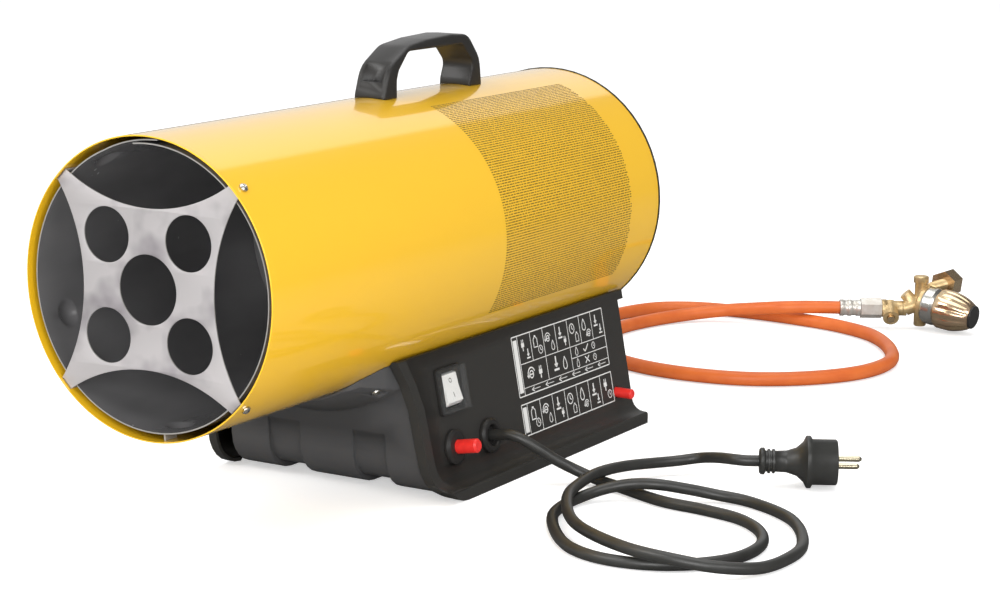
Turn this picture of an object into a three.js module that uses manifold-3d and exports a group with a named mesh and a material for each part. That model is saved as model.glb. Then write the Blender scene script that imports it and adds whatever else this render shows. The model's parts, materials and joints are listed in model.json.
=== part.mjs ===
// Forced air gas heater: a sheet drum with a burner and a fan inside, a moulded base under it,
// a carrying handle on top, a mains lead, and a gas hose that ends in an adjustable regulator.
// Millimetres, +Z up, standing on z = 0. The warm air leaves towards -Y and the controls face +X.
// While the pieces are made, x = 0 is the drum's middle plane and y = 0 the middle of its length;
// the last lines move the whole heater so that the origin lies under the middle of its box.
import * as THREE from "three";
import { mergeVertices } from "three/addons/utils/BufferGeometryUtils.js";
import Module from "manifold-3d";

const wasm = await Module();
wasm.setup();

// ---------- driving dimensions ----------

const GAP = 0.3; // between two pieces that touch

const DRUM_RADIUS = 112.5;
const DRUM_LENGTH = 582;
const DRUM_SHEET = 1;
const DRUM_AXIS_HEIGHT = 198;
const DRUM_SIDES = 60;

const CHAMBER_RADIUS = 106.5;
const CHAMBER_SHEET = 1;
const CHAMBER_SETBACK = 4; // from the drum's front rim
const CHAMBER_LENGTH = 267;
const SEAM_ANGLE = 97;
const SEAM_LAP = 12; // degrees
const SEAM_RISE = 3.5;
const DIMPLE_COUNT = 5;
const DIMPLE_WIDTH = 22;
const DIMPLE_FIRST_ANGLE = 123.5;
const DIMPLE_STEP = 74.6;
const DIMPLE_SETBACK = 31; // from the drum's front rim

const PLATE_THICKNESS = 1.2;
const PLATE_SETBACK = 2; // from the drum's front rim
const PLATE_WAIST = 59.5; // from the middle to a hollow edge
const PLATE_TIP_WIDTH = 11;
const PLATE_TAB_LENGTH = 20;
const PLATE_CENTRE_HOLE = 52;
const PLATE_SIDE_HOLE = 41.3;
const PLATE_SIDE_HOLE_OFFSET = 37.3;

const SCREW_SHANK_RADIUS = 2;
const SCREW_HEAD_RADIUS = 3.5;
const SCREW_HEAD_HEIGHT = 2.6;
const PLATE_SCREW_SETBACK = 11;

const GUARD_LIP = 14; // how far the guard's rim reaches into the drum
const GUARD_OVERHANG = 0.8; // of its rear flange beyond the drum's outside
const GUARD_SHEET = 1.7;
const GUARD_STANDOFF = 2.2; // thickness of its face behind the drum's rear rim
const GUARD_RIM_WIDTH = 17;
const GUARD_RING_RADII = [46, 62, 78];
const GUARD_BAR_WIDTH = 2.6;
const GUARD_BAR_COUNT = 8;
const GUARD_HUB_RADIUS = 34;
const GUARD_SCREW_ANGLES = [150, 210, 270];

const MOTOR_RADIUS = 40;
const MOTOR_LENGTH = 53;
const MOTOR_BRACKET_LENGTH = 15;
const MOTOR_BRACKET_RADIUS = 32;
const MOTOR_SCREW_CIRCLE = 23;
const MOTOR_SCREW_COUNT = 3;
const SHAFT_RADIUS = 4;
const SHAFT_LENGTH = 70;
const FAN_RADIUS = 95;
const FAN_HUB_RADIUS = 17;
const FAN_HUB_LENGTH = 20;
const FAN_BLADE_COUNT = 5;
const FAN_BLADE_PITCH = 32;
const FAN_BLADE_THICKNESS = 1.6;
const FAN_MOTOR_SPACE = 6;

const CUP_RADIUS = 49;
const CUP_LENGTH = 46;
const CUP_FLANGE_WIDTH = 13;
const NOZZLE_RADIUS = 6;
const NOZZLE_LENGTH = 22;
const PIPE_RADIUS = 4;
const PIPE_OPENING_RADIUS = 14;
const PIPE_RISE_SETBACK = 24; // from the nozzle's rear end to the rising pipe
const PROBE_RADIUS = 1.6;
const PROBE_SPREAD = 26; // thermocouple and electrode either side of the nozzle
const PROBE_REACH = 34;
const PROBE_FLANGE_RADIUS = 6;
const THERMOSTAT_RADIUS = 9;
const THERMOSTAT_LENGTH = 9;
const THERMOSTAT_OFFSET = 84;

const HANDLE_WIDTH = 30;
const HANDLE_FRONT = -4;
const HANDLE_REAR = 147;
const HANDLE_TOP = 158; // above the drum's axis
const HANDLE_WINDOW_TOP = 148.4;
const HANDLE_FRONT_LEG = 18.5;
const HANDLE_REAR_LEG = 20;
const HANDLE_EDGE = 2.5;
const HANDLE_RECESS_WIDTH = 20;
const HANDLE_RECESS_SILL = 13;
const HANDLE_RECESS_DEPTH = 5;
const HANDLE_SCREW_DEPTH = 12;

const BASE_HALF_WIDTH = 117;
const BASE_REAR_SETBACK = 21; // from the drum's rear rim
const BASE_FRONT_FOOT = -67.8; // where the leaning front line would meet the floor
const BASE_FRONT_RAKE = 0.03;
const BASE_FRONT_CURL = 0.0046; // per mm: how fast the front line bends forwards
const BASE_FRONT_CURL_START = 55; // height at which it starts to bend
const LEFT_COVER_KNEE = 38; // height at which the left cover turns upright
const BASE_CORNER_RADIUS = 34;
const COVER_WALL = 3;
const COVER_TOP_DROP = 81; // below the drum's axis
const COVER_TOP_CLEARANCE = 3.1; // from the cover's outer face to the drum
const COVER_LEDGE_WIDTH = 16.5;
const COVER_LEDGE_HEIGHT = 10;
const COVER_FILLET = 12.3;
const COVER_FLANGE = 8;
const COVER_TAB_LENGTH = 10;
const COVER_TAB_HEIGHT = 8;
const COVER_STRIP_WIDTH = 10;
const COVER_STRIP_RISE = 1.2;
const BODY_WALL = 3;
const BODY_NOTCH_HEIGHT = 70;
const BODY_NOTCH_DEPTH = 7.5;
const BODY_LEFT_FOOT = 95; // half width of its left side below the notch
const GROOVE_INNER = 26;
const GROOVE_OUTER = 57;
const GROOVE_DEPTH = 5.5;
const GROOVE_TOP = 52;
const GROOVE_REAR = 20;
const COLLAR_WIDTH = 17; // radially, at its crease
const COLLAR_CREASE = -85;
const COLLAR_TIP = -121;
const COLLAR_SHOULDER = -96;
const COLLAR_ROOT = -61; // its rear end, inside the front wall
const COLLAR_TIP_THICKNESS = 2.5;
const SADDLE_REAR_THICKNESS = 8;
const SADDLE_REAR_LENGTH = 24;
const SADDLE_SCREW_ANGLE = 57; // either side of straight down, measured from the horizontal
const SADDLE_SCREW_RADIUS = 4.4;
const SADDLE_FRONT_SCREW = -95;

const SWITCH_Y = -23;
const SWITCH_HEIGHT_SHARE = 0.652; // of the panel's leaning face
const SWITCH_BEZEL_WIDTH = 36;
const SWITCH_BEZEL_HEIGHT = 38;
const SWITCH_BEZEL_THICKNESS = 3;
const SWITCH_BODY_MARGIN = 2.5;
const SWITCH_BODY_DEPTH = 24;
const ROCKER_RADIUS = 14.2;
const ROCKER_WIDTH = 21;
const ROCKER_PIVOT_DEPTH = 4;
const ROCKER_PRESSED_ANGLE = 62;
const ROCKER_RAISED_ANGLE = 44;
const SWITCH_COVER_HEIGHT = 5.6;
const SWITCH_COVER_WALL = 1;

const IGNITER_Y = -28;
const IGNITER_HEIGHT_SHARE = 0.176;
const BEZEL_RADIUS = 14.5;
const BEZEL_THICKNESS = 5;
const IGNITER_BODY_RADIUS = 10;
const IGNITER_BODY_DEPTH = 28;
const IGNITER_BUTTON_RADIUS = 5.75;
const IGNITER_BUTTON_REACH = 24;
const IGNITER_BUTTON_INSIDE = 14;
const IGNITER_TRAVEL = 5;

const GLAND_Y = 25.5;
const GLAND_HEIGHT_SHARE = 0.158;
const GLAND_BODY_RADIUS = 9;
const GLAND_INSIDE = 12;
const GLAND_MOUTH = 3.9; // round the lead
const GLAND_FLOOR = 0.5;
const LEAD_RADIUS = 4.6;

const VALVE_SETBACK = 26; // from the base's rear
const VALVE_Z = 31;
const VALVE_INNER_END = 14;
const VALVE_OUTER_END = 60;
const VALVE_WIDTH = 34;
const VALVE_HEIGHT = 26;
const VALVE_SLEEVE_RADIUS = 8;
const VALVE_SLEEVE_END = 92;
const VALVE_BUTTON_RADIUS = 4.5;
const VALVE_BUTTON_END = 115;
const VALVE_BUTTON_INSIDE = 70;
const VALVE_TRAVEL = 6;
const INLET_X = 30;
const INLET_Z = 40;
const INLET_RADIUS = 7;
const INLET_HEX_RADIUS = 11;
const INLET_HEX_LENGTH = 8;
const INLET_NUT_LENGTH = 14;
const INLET_REACH = 22;
const HOSE_RADIUS = 7;

const TERMINAL_SIZE = [44, 22, 18];
const TERMINAL_PLACE = [52, 46]; // x and y of its middle, on the base's floor

const PLUG_FLANGE_RADIUS = 21.4;
const PLUG_BODY_RADIUS = 18.7;
const PLUG_LENGTH = 63;
const PLUG_HEADING = 28.3; // degrees, from +X towards +Y
const PIN_LENGTH = 19;
const PIN_RADIUS = 2.4;
const PIN_SPACING = 19;
const PIN_LINE_TILT = 57; // degrees from the vertical

const ARM_HEADING = 30; // degrees, from +X towards +Y
const FERRULE_LENGTH = 22;
const FERRULE_RADIUS = 9;
const HOSE_NUT_LENGTH = 22;
const HOSE_NUT_FLATS = 19;
const SAFETY_VALVE_LENGTH = 22;
const SAFETY_VALVE_RADIUS = 8;
const ARM_RUN = 19; // from the safety valve to the column's middle
const ARM_RISE = 6.5;
const ARM_STUB_RADIUS = 6.5;
const ARM_STUB_LENGTH = 16;
const ARM_STUB_DIRECTION = [-0.62, -0.3, 0.72];
const RESET_HOUSING_RADIUS = 8.5;
const RESET_HOUSING_LENGTH = 18;
const RESET_SETBACK = 9; // from the hose nut's end
const RESET_DIRECTION = [0.42, -0.8, -0.42];
const RESET_BUTTON_RADIUS = 4;
const RESET_BUTTON_REACH = 2.8;
const RESET_TRAVEL = 2.5;

const REGULATOR_HEADING = -5.3; // degrees, from +X towards +Y
const REGULATOR_TIP = 7.8; // degrees that its wheel end points down
const COLUMN_RADIUS = 6.5;
const COLUMN_TOP = 29;
const COLUMN_BOTTOM = -25;
const BODY_DISC_RADIUS = 19;
const BONNET_START = 8;
const BONNET_END = 23;
const BONNET_RADIUS = 20;
const WHEEL_RADIUS = 21.5;
const WHEEL_END_RADIUS = 13.5;
const WHEEL_LENGTH = 38;
const WHEEL_CAP_RADIUS = 12.5;
const WHEEL_CAP_THICKNESS = 2.2;
const WHEEL_STEM_RADIUS = 4.5;
const INLET_STEM_HEIGHT = 18;
const INLET_STEM_X = 9.5;
const INLET_STEM_RADIUS = 6.5;
const CYLINDER_NUT_FLATS = 26;
const CYLINDER_NUT_START = 27;
const CYLINDER_NUT_LENGTH = 20;
const CYLINDER_NUT_BORE = 10;

// The mains lead, from the gland to the plug: it drops to the floor and lies in two loose loops.
const LEAD_ROUTE = [
  [98.6, 25.5, 37.47], [109, 25.5, 39.45], [116.8, 25.6, 40.6], [127, 28, 38], [139, 34.5, 30], [152, 43.5, 19.8],
  [166, 52, 11.5], [184, 55, 5.6], [204, 49, 4.8], [257, 28, 4.8], [294, 24, 4.8],
  [330.5, 15, 4.8], [358.5, -8, 4.8], [374.5, -41, 4.8], [373, -78, 4.8], [354, -109, 4.8],
  [323.5, -128.5, 4.8], [287, -132.5, 4.8], [253, -118, 4.8], [206, -58, 4.8], [197, -27, 4.8],
  [198, -2, 5.8], [209, 19, 9.8], [227, 31, 13.8], [246, 38, 14.8], [266, 50, 11.4],
  [288, 62, 6.8], [314, 64.5, 4.9], [364, 36, 4.8], [401, -25, 4.8], [405.5, -60, 4.8],
  [399, -95, 5.6], [378.5, -122, 9.8], [346, -134.5, 14.2], [307.5, -129.5, 15], [244.5, -91, 14.2],
  [204, -30.5, 15], [194.5, 5, 15.4], [191, 42, 15.4], [196, 80, 13.4], [221, 122, 12],
  [239, 132, 15], [259, 124.5, 19.5], [276, 119.5, 21.5], [284.5, 121, 21.5], [294, 126, 21.5],
];

// The gas hose, from the inlet at the rear to the crimped ferrule: one wide loop that crosses itself.
const HOSE_ROUTE = [
  [30, 292, 40], [30, 303, 39.7], [28, 320, 35.5], [20, 345, 25], [0, 380, 12], [-32, 415, 7.5],
  [-68, 455, 7.3], [-98, 500, 7.3], [-118, 552, 7.3], [-127, 610, 7.3], [-124, 665, 7.3],
  [-106, 713, 7.3], [-74, 737, 7.3], [-38, 746, 7.3], [0, 748, 7.3], [50, 744, 7.3],
  [100, 734, 7.3], [150, 707, 7.3], [194, 650, 7.3], [215, 595, 7.3], [210, 540, 7.3],
  [180, 490, 7.3], [134, 454, 7.3], [80, 440, 7.3], [26, 443, 7.3], [-22, 462, 7.3],
  [-60, 498, 7.3], [-82, 548, 7.3], [-88, 600, 7.3], [-78, 655, 7.3], [-56, 697, 8.8],
  [-26, 718, 12.8], [8, 725, 17.3], [35, 729, 20.8], [58, 739, 22.2], [75, 749.2, 22.2],
  [91, 758.4, 22],
];

// ---------- sizes worked out from the ones above ----------

const DRUM_FRONT = -DRUM_LENGTH / 2;
const DRUM_REAR = DRUM_LENGTH / 2;
const BASE_REAR = DRUM_REAR - BASE_REAR_SETBACK;
const DRUM_INNER = DRUM_RADIUS - DRUM_SHEET;
const LINER_REACH = DRUM_INNER - GAP - 0.1; // the flat facets of the drum lie a little further in
const CHAMBER_FRONT = DRUM_FRONT + CHAMBER_SETBACK;
const CHAMBER_REAR = CHAMBER_FRONT + CHAMBER_LENGTH;
const CUP_REAR = CHAMBER_REAR + CUP_LENGTH;
const NOZZLE_REAR = CUP_REAR + NOZZLE_LENGTH - 6;
const PIPE_RISE_Y = NOZZLE_REAR + PIPE_RISE_SETBACK;
const GUARD_FACE = DRUM_REAR + GAP;
const BRACKET_FRONT = GUARD_FACE - GAP - MOTOR_BRACKET_LENGTH;
const MOTOR_REAR = BRACKET_FRONT - GAP;
const MOTOR_FRONT = MOTOR_REAR - MOTOR_LENGTH;
const FAN_REAR = MOTOR_FRONT - FAN_MOTOR_SPACE;
const FAN_FRONT = FAN_REAR - FAN_HUB_LENGTH;

const COVER_TOP = DRUM_AXIS_HEIGHT - COVER_TOP_DROP;
const COVER_TOP_X = Math.sqrt((DRUM_RADIUS + COVER_TOP_CLEARANCE) ** 2 - COVER_TOP_DROP ** 2);
const PANEL_FOOT_X = BASE_HALF_WIDTH - COVER_LEDGE_WIDTH;
const PANEL_FOOT_Z = COVER_LEDGE_HEIGHT + COVER_FILLET;
const PANEL_SLOPE = (PANEL_FOOT_X - COVER_TOP_X) / (COVER_TOP - PANEL_FOOT_Z);
const PANEL_LEAN = Math.atan(PANEL_SLOPE);
const panelX = (z) => COVER_TOP_X + PANEL_SLOPE * (COVER_TOP - z);
const onPanelFace = (share) => PANEL_FOOT_Z + share * (COVER_TOP - PANEL_FOOT_Z);
const LEFT_SLOPE = (BASE_HALF_WIDTH - COVER_TOP_X) / (COVER_TOP - LEFT_COVER_KNEE);
const LEFT_LEAN = Math.atan(LEFT_SLOPE);
const leftX = (z) => COVER_TOP_X + LEFT_SLOPE * (COVER_TOP - z);
const VALVE_Y = BASE_REAR - VALVE_SETBACK;

// The base's front line in the side view.
function frontY(z) {
  const bend = Math.max(0, z - BASE_FRONT_CURL_START);
  return BASE_FRONT_FOOT - BASE_FRONT_RAKE * z - BASE_FRONT_CURL * bend * bend;
}

// ---------- geometry helpers ----------

const radians = THREE.MathUtils.degToRad;

// A closed geometry as a solid. Mirrored geometry is turned right side out.
function solidOf(geometry) {
  const bare = geometry.index ? geometry.toNonIndexed() : geometry.clone();
  bare.deleteAttribute("normal");
  bare.deleteAttribute("uv");
  const merged = mergeVertices(bare, 1e-3);
  const index = merged.index.array;
  const triangles = [];
  for (let i = 0; i < index.length; i += 3) {
    const [a, b, c] = index.slice(i, i + 3);
    if (a !== b && b !== c && c !== a) triangles.push(a, b, c);
  }
  const build = (list) => new wasm.Manifold(new wasm.Mesh({
    numProp: 3,
    vertProperties: merged.attributes.position.array,
    triVerts: new Uint32Array(list),
  }));
  const solid = build(triangles);
  return solid.volume() < 0 ? build(triangles.reverse()) : solid;
}

function geometryOf(solid) {
  const mesh = solid.getMesh();
  const geometry = new THREE.BufferGeometry();
  geometry.setAttribute("position", new THREE.BufferAttribute(new Float32Array(mesh.vertProperties), 3));
  geometry.setIndex(new THREE.BufferAttribute(new Uint32Array(mesh.triVerts), 1));
  return geometry;
}

const join = (...pieces) => geometryOf(pieces.map(solidOf).reduce((a, b) => a.add(b)));
const cut = (piece, ...tools) => geometryOf(tools.map(solidOf).reduce((a, b) => a.subtract(b), solidOf(piece)));
const common = (...pieces) => geometryOf(pieces.map(solidOf).reduce((a, b) => a.intersect(b)));

function box(x0, x1, y0, y1, z0, z1) {
  const block = new THREE.BoxGeometry(x1 - x0, y1 - y0, z1 - z0);
  return block.translate((x0 + x1) / 2, (y0 + y1) / 2, (z0 + z1) / 2);
}

// Turns a shape made around Y so that Y becomes the named axis.
function alongAxis(geometry, axis) {
  if (axis === "x") return geometry.rotateZ(-Math.PI / 2);
  if (axis === "z") return geometry.rotateX(Math.PI / 2);
  return geometry;
}

function rod(axis, radius, from, to, sides = 16) {
  const bar = new THREE.CylinderGeometry(radius, radius, to - from, sides);
  return alongAxis(bar.translate(0, (from + to) / 2, 0), axis);
}

// A turned piece: profile points are [radius, position along the axis], in either order round.
function turned(axis, profile, sides = 32) {
  const area = profile.reduce((sum, [r, p], i) => {
    const [r2, p2] = profile[(i + 1) % profile.length];
    return sum + r * p2 - r2 * p;
  }, 0);
  const ordered = area < 0 ? [...profile].reverse() : profile;
  const onAxis = ordered.findIndex(([r], i) => r === 0 && ordered.at(i - 1)[0] === 0);
  const points = onAxis < 0 ? [...ordered, ordered[0]]
    : [...ordered.slice(onAxis), ...ordered.slice(0, onAxis)];
  const lathe = new THREE.LatheGeometry(points.map(([r, p]) => new THREE.Vector2(r, p)), sides);
  return alongAxis(lathe, axis);
}

// A flat outline, given in the two axes named by plane, drawn out along the third from one end to the other.
function prism(plane, outline, from, to, options = {}) {
  const shape = outline instanceof THREE.Shape ? outline
    : new THREE.Shape(outline.map(([a, b]) => new THREE.Vector2(a, b)));
  const geometry = new THREE.ExtrudeGeometry(shape, { depth: to - from, bevelEnabled: false, ...options });
  const drawn = geometry.translate(0, 0, from);
  const swap = new THREE.Matrix4();
  if (plane === "yz") swap.set(0, 0, 1, 0, 1, 0, 0, 0, 0, 1, 0, 0, 0, 0, 0, 1);
  if (plane === "xz") swap.set(1, 0, 0, 0, 0, 0, 1, 0, 0, 1, 0, 0, 0, 0, 0, 1);
  return geometryOf(solidOf(drawn.applyMatrix4(swap)));
}

// Corners are [a, b, radius]; a corner with a radius becomes an arc.
function rounded(corners, degreesPerSide = 15) {
  const points = [];
  corners.forEach(([a, b, radius = 0], i) => {
    const corner = new THREE.Vector2(a, b);
    const before = new THREE.Vector2(...corners.at(i - 1).slice(0, 2)).sub(corner).normalize();
    const after = new THREE.Vector2(...corners[(i + 1) % corners.length].slice(0, 2)).sub(corner).normalize();
    const between = Math.acos(THREE.MathUtils.clamp(before.dot(after), -1, 1));
    if (radius <= 0 || between > Math.PI - 0.01) {
      points.push([a, b]);
      return;
    }
    const middle = before.clone().add(after).normalize().multiplyScalar(radius / Math.sin(between / 2)).add(corner);
    const start = before.clone().multiplyScalar(radius / Math.tan(between / 2)).add(corner).sub(middle);
    const turn = Math.PI - between;
    const side = Math.sign(before.x * after.y - before.y * after.x);
    const steps = Math.max(2, Math.round(THREE.MathUtils.radToDeg(turn) / degreesPerSide));
    for (let k = 0; k <= steps; k += 1) {
      const spoke = start.clone().rotateAround(new THREE.Vector2(), (-side * turn * k) / steps);
      points.push([middle.x + spoke.x, middle.y + spoke.y]);
    }
  });
  return points;
}

const circle = (radius, sides) => Array.from({ length: sides }, (_, i) => {
  const angle = (2 * Math.PI * (i + 0.5)) / sides;
  return [radius * Math.cos(angle), radius * Math.sin(angle)];
});

function tube(route, radius, sides, steps) {
  const path = new THREE.CatmullRomCurve3(route.map((p) => new THREE.Vector3(...p)));
  const section = new THREE.Shape(circle(radius, sides).map(([a, b]) => new THREE.Vector2(a, b)));
  return new THREE.ExtrudeGeometry(section, { steps, extrudePath: path });
}

// Turns what was made along +X to stand out of the drum at an angle from +X towards +Z.
const radial = (geometry, degrees) => geometry.rotateY(-radians(degrees));

const hexRadius = (flats) => flats / Math.sqrt(3);

// ---------- colours ----------

const finish = (color, roughness, metalness) => new THREE.MeshStandardMaterial({ color, roughness, metalness });
const YELLOW = finish(0xefbb2c, 0.3, 0);
const DARK_STEEL = finish(0x38383a, 0.5, 0.6);
const GALVANISED = finish(0xcbc5c5, 0.4, 0.8);
const ZINC = finish(0xc9c6bd, 0.3, 0.9);
const BLACK_PLASTIC = finish(0x373430, 0.5, 0);
const GREY_PLASTIC = finish(0x464646, 0.55, 0);
const RED = finish(0xe2392f, 0.4, 0);
const WHITE = finish(0xe8e8e4, 0.4, 0);
const CLEAR = new THREE.MeshStandardMaterial({ color: 0xe8eef0, roughness: 0.1, transparent: true, opacity: 0.35 });
const BRASS = finish(0xbfa56e, 0.35, 0.9);
const COPPER = finish(0xb8754a, 0.35, 0.9);
const CERAMIC = finish(0xe6e0d4, 0.5, 0);
const ALUMINIUM = finish(0xb9bbbd, 0.4, 0.8);
const RUBBER = finish(0x3a3a38, 0.6, 0);
const ORANGE = finish(0xe0763c, 0.5, 0);

// ---------- scene graph ----------

const heater = new THREE.Group();
const drumLine = new THREE.Group(); // the drum's axis, along Y
drumLine.position.z = DRUM_AXIS_HEIGHT;
heater.add(drumLine);

function add(parent, name, geometry, material) {
  const mesh = new THREE.Mesh(geometry, material);
  mesh.name = name;
  parent.add(mesh);
  return mesh;
}

// A place on the control panel's leaning face, with local X straight out of it.
function panelSpot(y, z) {
  const spot = new THREE.Group();
  spot.position.set(panelX(z), y, z);
  spot.rotation.y = -PANEL_LEAN;
  spot.updateMatrix();
  heater.add(spot);
  return spot;
}

// ---------- drum ----------

const PLATE_SCREW_ANGLES = [45, 135, 225, 315];
const PLATE_SCREW_Y = DRUM_FRONT + PLATE_SCREW_SETBACK;
const SADDLE_REAR_SCREW = BASE_REAR - COVER_WALL - GAP - SADDLE_REAR_LENGTH / 2;
const SADDLE_SCREWS = [
  [-SADDLE_SCREW_ANGLE, SADDLE_FRONT_SCREW],
  [SADDLE_SCREW_ANGLE - 180, SADDLE_FRONT_SCREW],
  [-SADDLE_SCREW_ANGLE, SADDLE_REAR_SCREW],
  [SADDLE_SCREW_ANGLE - 180, SADDLE_REAR_SCREW],
];
const HANDLE_SCREW_PLACES = [HANDLE_FRONT + HANDLE_FRONT_LEG / 2, HANDLE_REAR - HANDLE_REAR_LEG / 2];
const GUARD_SCREW_Y = DRUM_REAR - GUARD_LIP / 2;

// A round hole through a sheet, straight out from the drum's axis.
function radialHole(degrees, y, radius = SCREW_SHANK_RADIUS + GAP) {
  const drill = rod("x", radius, CHAMBER_RADIUS, DRUM_RADIUS + 2 * COLLAR_WIDTH, 12);
  return radial(drill, degrees).translate(0, y, 0);
}

function outerDrum() {
  const sheet = turned("y", [
    [DRUM_RADIUS, DRUM_FRONT], [DRUM_RADIUS, DRUM_REAR], [DRUM_INNER, DRUM_REAR], [DRUM_INNER, DRUM_FRONT],
  ], DRUM_SIDES);
  return cut(
    sheet,
    ...PLATE_SCREW_ANGLES.map((angle) => radialHole(angle, PLATE_SCREW_Y)),
    ...SADDLE_SCREWS.map(([angle, y]) => radialHole(angle, y)),
    ...HANDLE_SCREW_PLACES.map((y) => radialHole(90, y)),
    ...GUARD_SCREW_ANGLES.map((angle) => radialHole(angle, GUARD_SCREW_Y)),
    radialHole(270, PIPE_RISE_Y, PIPE_OPENING_RADIUS),
  );
}

// A screw through a sheet: its head sits at seat, its shank reaches inwards to tip.
function radialScrew(degrees, y, seat, tip, headRadius = SCREW_HEAD_RADIUS) {
  const screw = turned("x", [
    [0, tip], [SCREW_SHANK_RADIUS, tip], [SCREW_SHANK_RADIUS, seat], [headRadius, seat],
    [headRadius, seat + SCREW_HEAD_HEIGHT * 0.45], [headRadius * 0.55, seat + SCREW_HEAD_HEIGHT],
    [0, seat + SCREW_HEAD_HEIGHT],
  ], 10);
  return radial(screw, degrees).translate(0, y, 0);
}

// ---------- combustion chamber and flame plate ----------

// The rolled sheet in section: it starts under the seam, runs round once and laps over its own start.
function chamberSection() {
  const turn = 360 + SEAM_LAP;
  const riseStart = 360 - SEAM_LAP - 3;
  const rise = (t) => SEAM_RISE * Math.max(0, (t - riseStart) / (turn - riseStart));
  const steps = 48;
  const edge = (radius) => Array.from({ length: steps + 1 }, (_, i) => {
    const t = (turn * i) / steps;
    const angle = radians(SEAM_ANGLE - t);
    return [(radius + rise(t)) * Math.cos(angle), (radius + rise(t)) * Math.sin(angle)];
  });
  return [...edge(CHAMBER_RADIUS), ...edge(CHAMBER_RADIUS - CHAMBER_SHEET).reverse()];
}

// A round dent that stands out to the drum and keeps the chamber in its middle.
function dimple(radius, degrees) {
  const depth = LINER_REACH - CHAMBER_RADIUS;
  const curve = ((DIMPLE_WIDTH / 2) ** 2 + depth ** 2) / (2 * depth);
  const ball = new THREE.SphereGeometry(curve - radius, 12, 9).rotateZ(-Math.PI / 2);
  return radial(ball.translate(LINER_REACH - curve, 0, 0), degrees).translate(0, DRUM_FRONT + DIMPLE_SETBACK, 0);
}

function combustionChamber() {
  const wall = prism("xz", chamberSection(), CHAMBER_FRONT, CHAMBER_REAR);
  const rearWall = turned("y", [
    [CUP_RADIUS + 3, CHAMBER_REAR - CHAMBER_SHEET], [CHAMBER_RADIUS - CHAMBER_SHEET / 2, CHAMBER_REAR - CHAMBER_SHEET],
    [CHAMBER_RADIUS - CHAMBER_SHEET / 2, CHAMBER_REAR], [CUP_RADIUS + 3, CHAMBER_REAR],
  ], 48);
  const inside = rod("y", CHAMBER_RADIUS - CHAMBER_SHEET / 2, CHAMBER_FRONT - 10, CHAMBER_REAR, 48);
  const angles = Array.from({ length: DIMPLE_COUNT }, (_, i) => DIMPLE_FIRST_ANGLE + DIMPLE_STEP * i);
  const dented = cut(wall, ...angles.map((angle) => dimple(CHAMBER_SHEET, angle)));
  const dents = angles.map((angle) => cut(dimple(0, angle), dimple(CHAMBER_SHEET, angle), inside));
  return join(dented, rearWall, ...dents);
}

const TIP_REACH = Math.sqrt(LINER_REACH ** 2 - (PLATE_TIP_WIDTH / 2) ** 2);

// Four hollow edges between four tips, with a hole in the middle and one in each arm.
function flamePlateShape() {
  const x = (TIP_REACH + PLATE_TIP_WIDTH / 2) / Math.SQRT2;
  const y = (TIP_REACH - PLATE_TIP_WIDTH / 2) / Math.SQRT2;
  const centre = (x * x + y * y - PLATE_WAIST ** 2) / (2 * (x - PLATE_WAIST));
  const radius = centre - PLATE_WAIST;
  const spread = Math.asin(y / radius);
  const outline = [];
  for (let side = 0; side < 4; side += 1) {
    for (let i = 0; i <= 14; i += 1) {
      const angle = spread * (i / 7 - 1);
      const point = new THREE.Vector2(centre - radius * Math.cos(angle), radius * Math.sin(angle));
      outline.push(point.rotateAround(new THREE.Vector2(), (side * Math.PI) / 2));
    }
  }
  const shape = new THREE.Shape(outline);
  const hole = (cx, cy, diameter) => {
    const path = new THREE.Path().absarc(cx, cy, diameter / 2, 0, 2 * Math.PI, true);
    shape.holes.push(path);
  };
  hole(0, 0, PLATE_CENTRE_HOLE);
  for (const sx of [-1, 1]) {
    for (const sy of [-1, 1]) hole(sx * PLATE_SIDE_HOLE_OFFSET, sy * PLATE_SIDE_HOLE_OFFSET, PLATE_SIDE_HOLE);
  }
  return shape;
}

function flamePlate() {
  const front = DRUM_FRONT + PLATE_SETBACK;
  const sheet = prism("xz", flamePlateShape(), front, front + PLATE_THICKNESS, { curveSegments: 9 });
  const tab = () => box(TIP_REACH - PLATE_THICKNESS, TIP_REACH, front, front + PLATE_TAB_LENGTH,
    -PLATE_TIP_WIDTH / 2, PLATE_TIP_WIDTH / 2);
  const tabs = PLATE_SCREW_ANGLES.map((angle) => radial(tab(), angle));
  return cut(join(sheet, ...tabs), ...PLATE_SCREW_ANGLES.map((angle) => radialHole(angle, PLATE_SCREW_Y)));
}

// ---------- burner ----------

function burnerCup() {
  const seat = CHAMBER_REAR + GAP;
  const wall = 1;
  const back = 1.5;
  const cup = turned("y", [
    [CUP_RADIUS, seat - 22], [CUP_RADIUS, seat], [CUP_RADIUS + CUP_FLANGE_WIDTH, seat],
    [CUP_RADIUS + CUP_FLANGE_WIDTH, seat + wall], [CUP_RADIUS, seat + wall], [CUP_RADIUS, CUP_REAR],
    [NOZZLE_RADIUS + GAP, CUP_REAR], [NOZZLE_RADIUS + GAP, CUP_REAR - back], [CUP_RADIUS - wall, CUP_REAR - back],
    [CUP_RADIUS - wall, seat - 22],
  ], 32);
  const probeHole = (x) => rod("y", PROBE_RADIUS + GAP, CUP_REAR - 5, CUP_REAR + 5, 12).translate(x, 0, 0);
  return cut(cup, probeHole(-PROBE_SPREAD), probeHole(PROBE_SPREAD));
}

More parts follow.
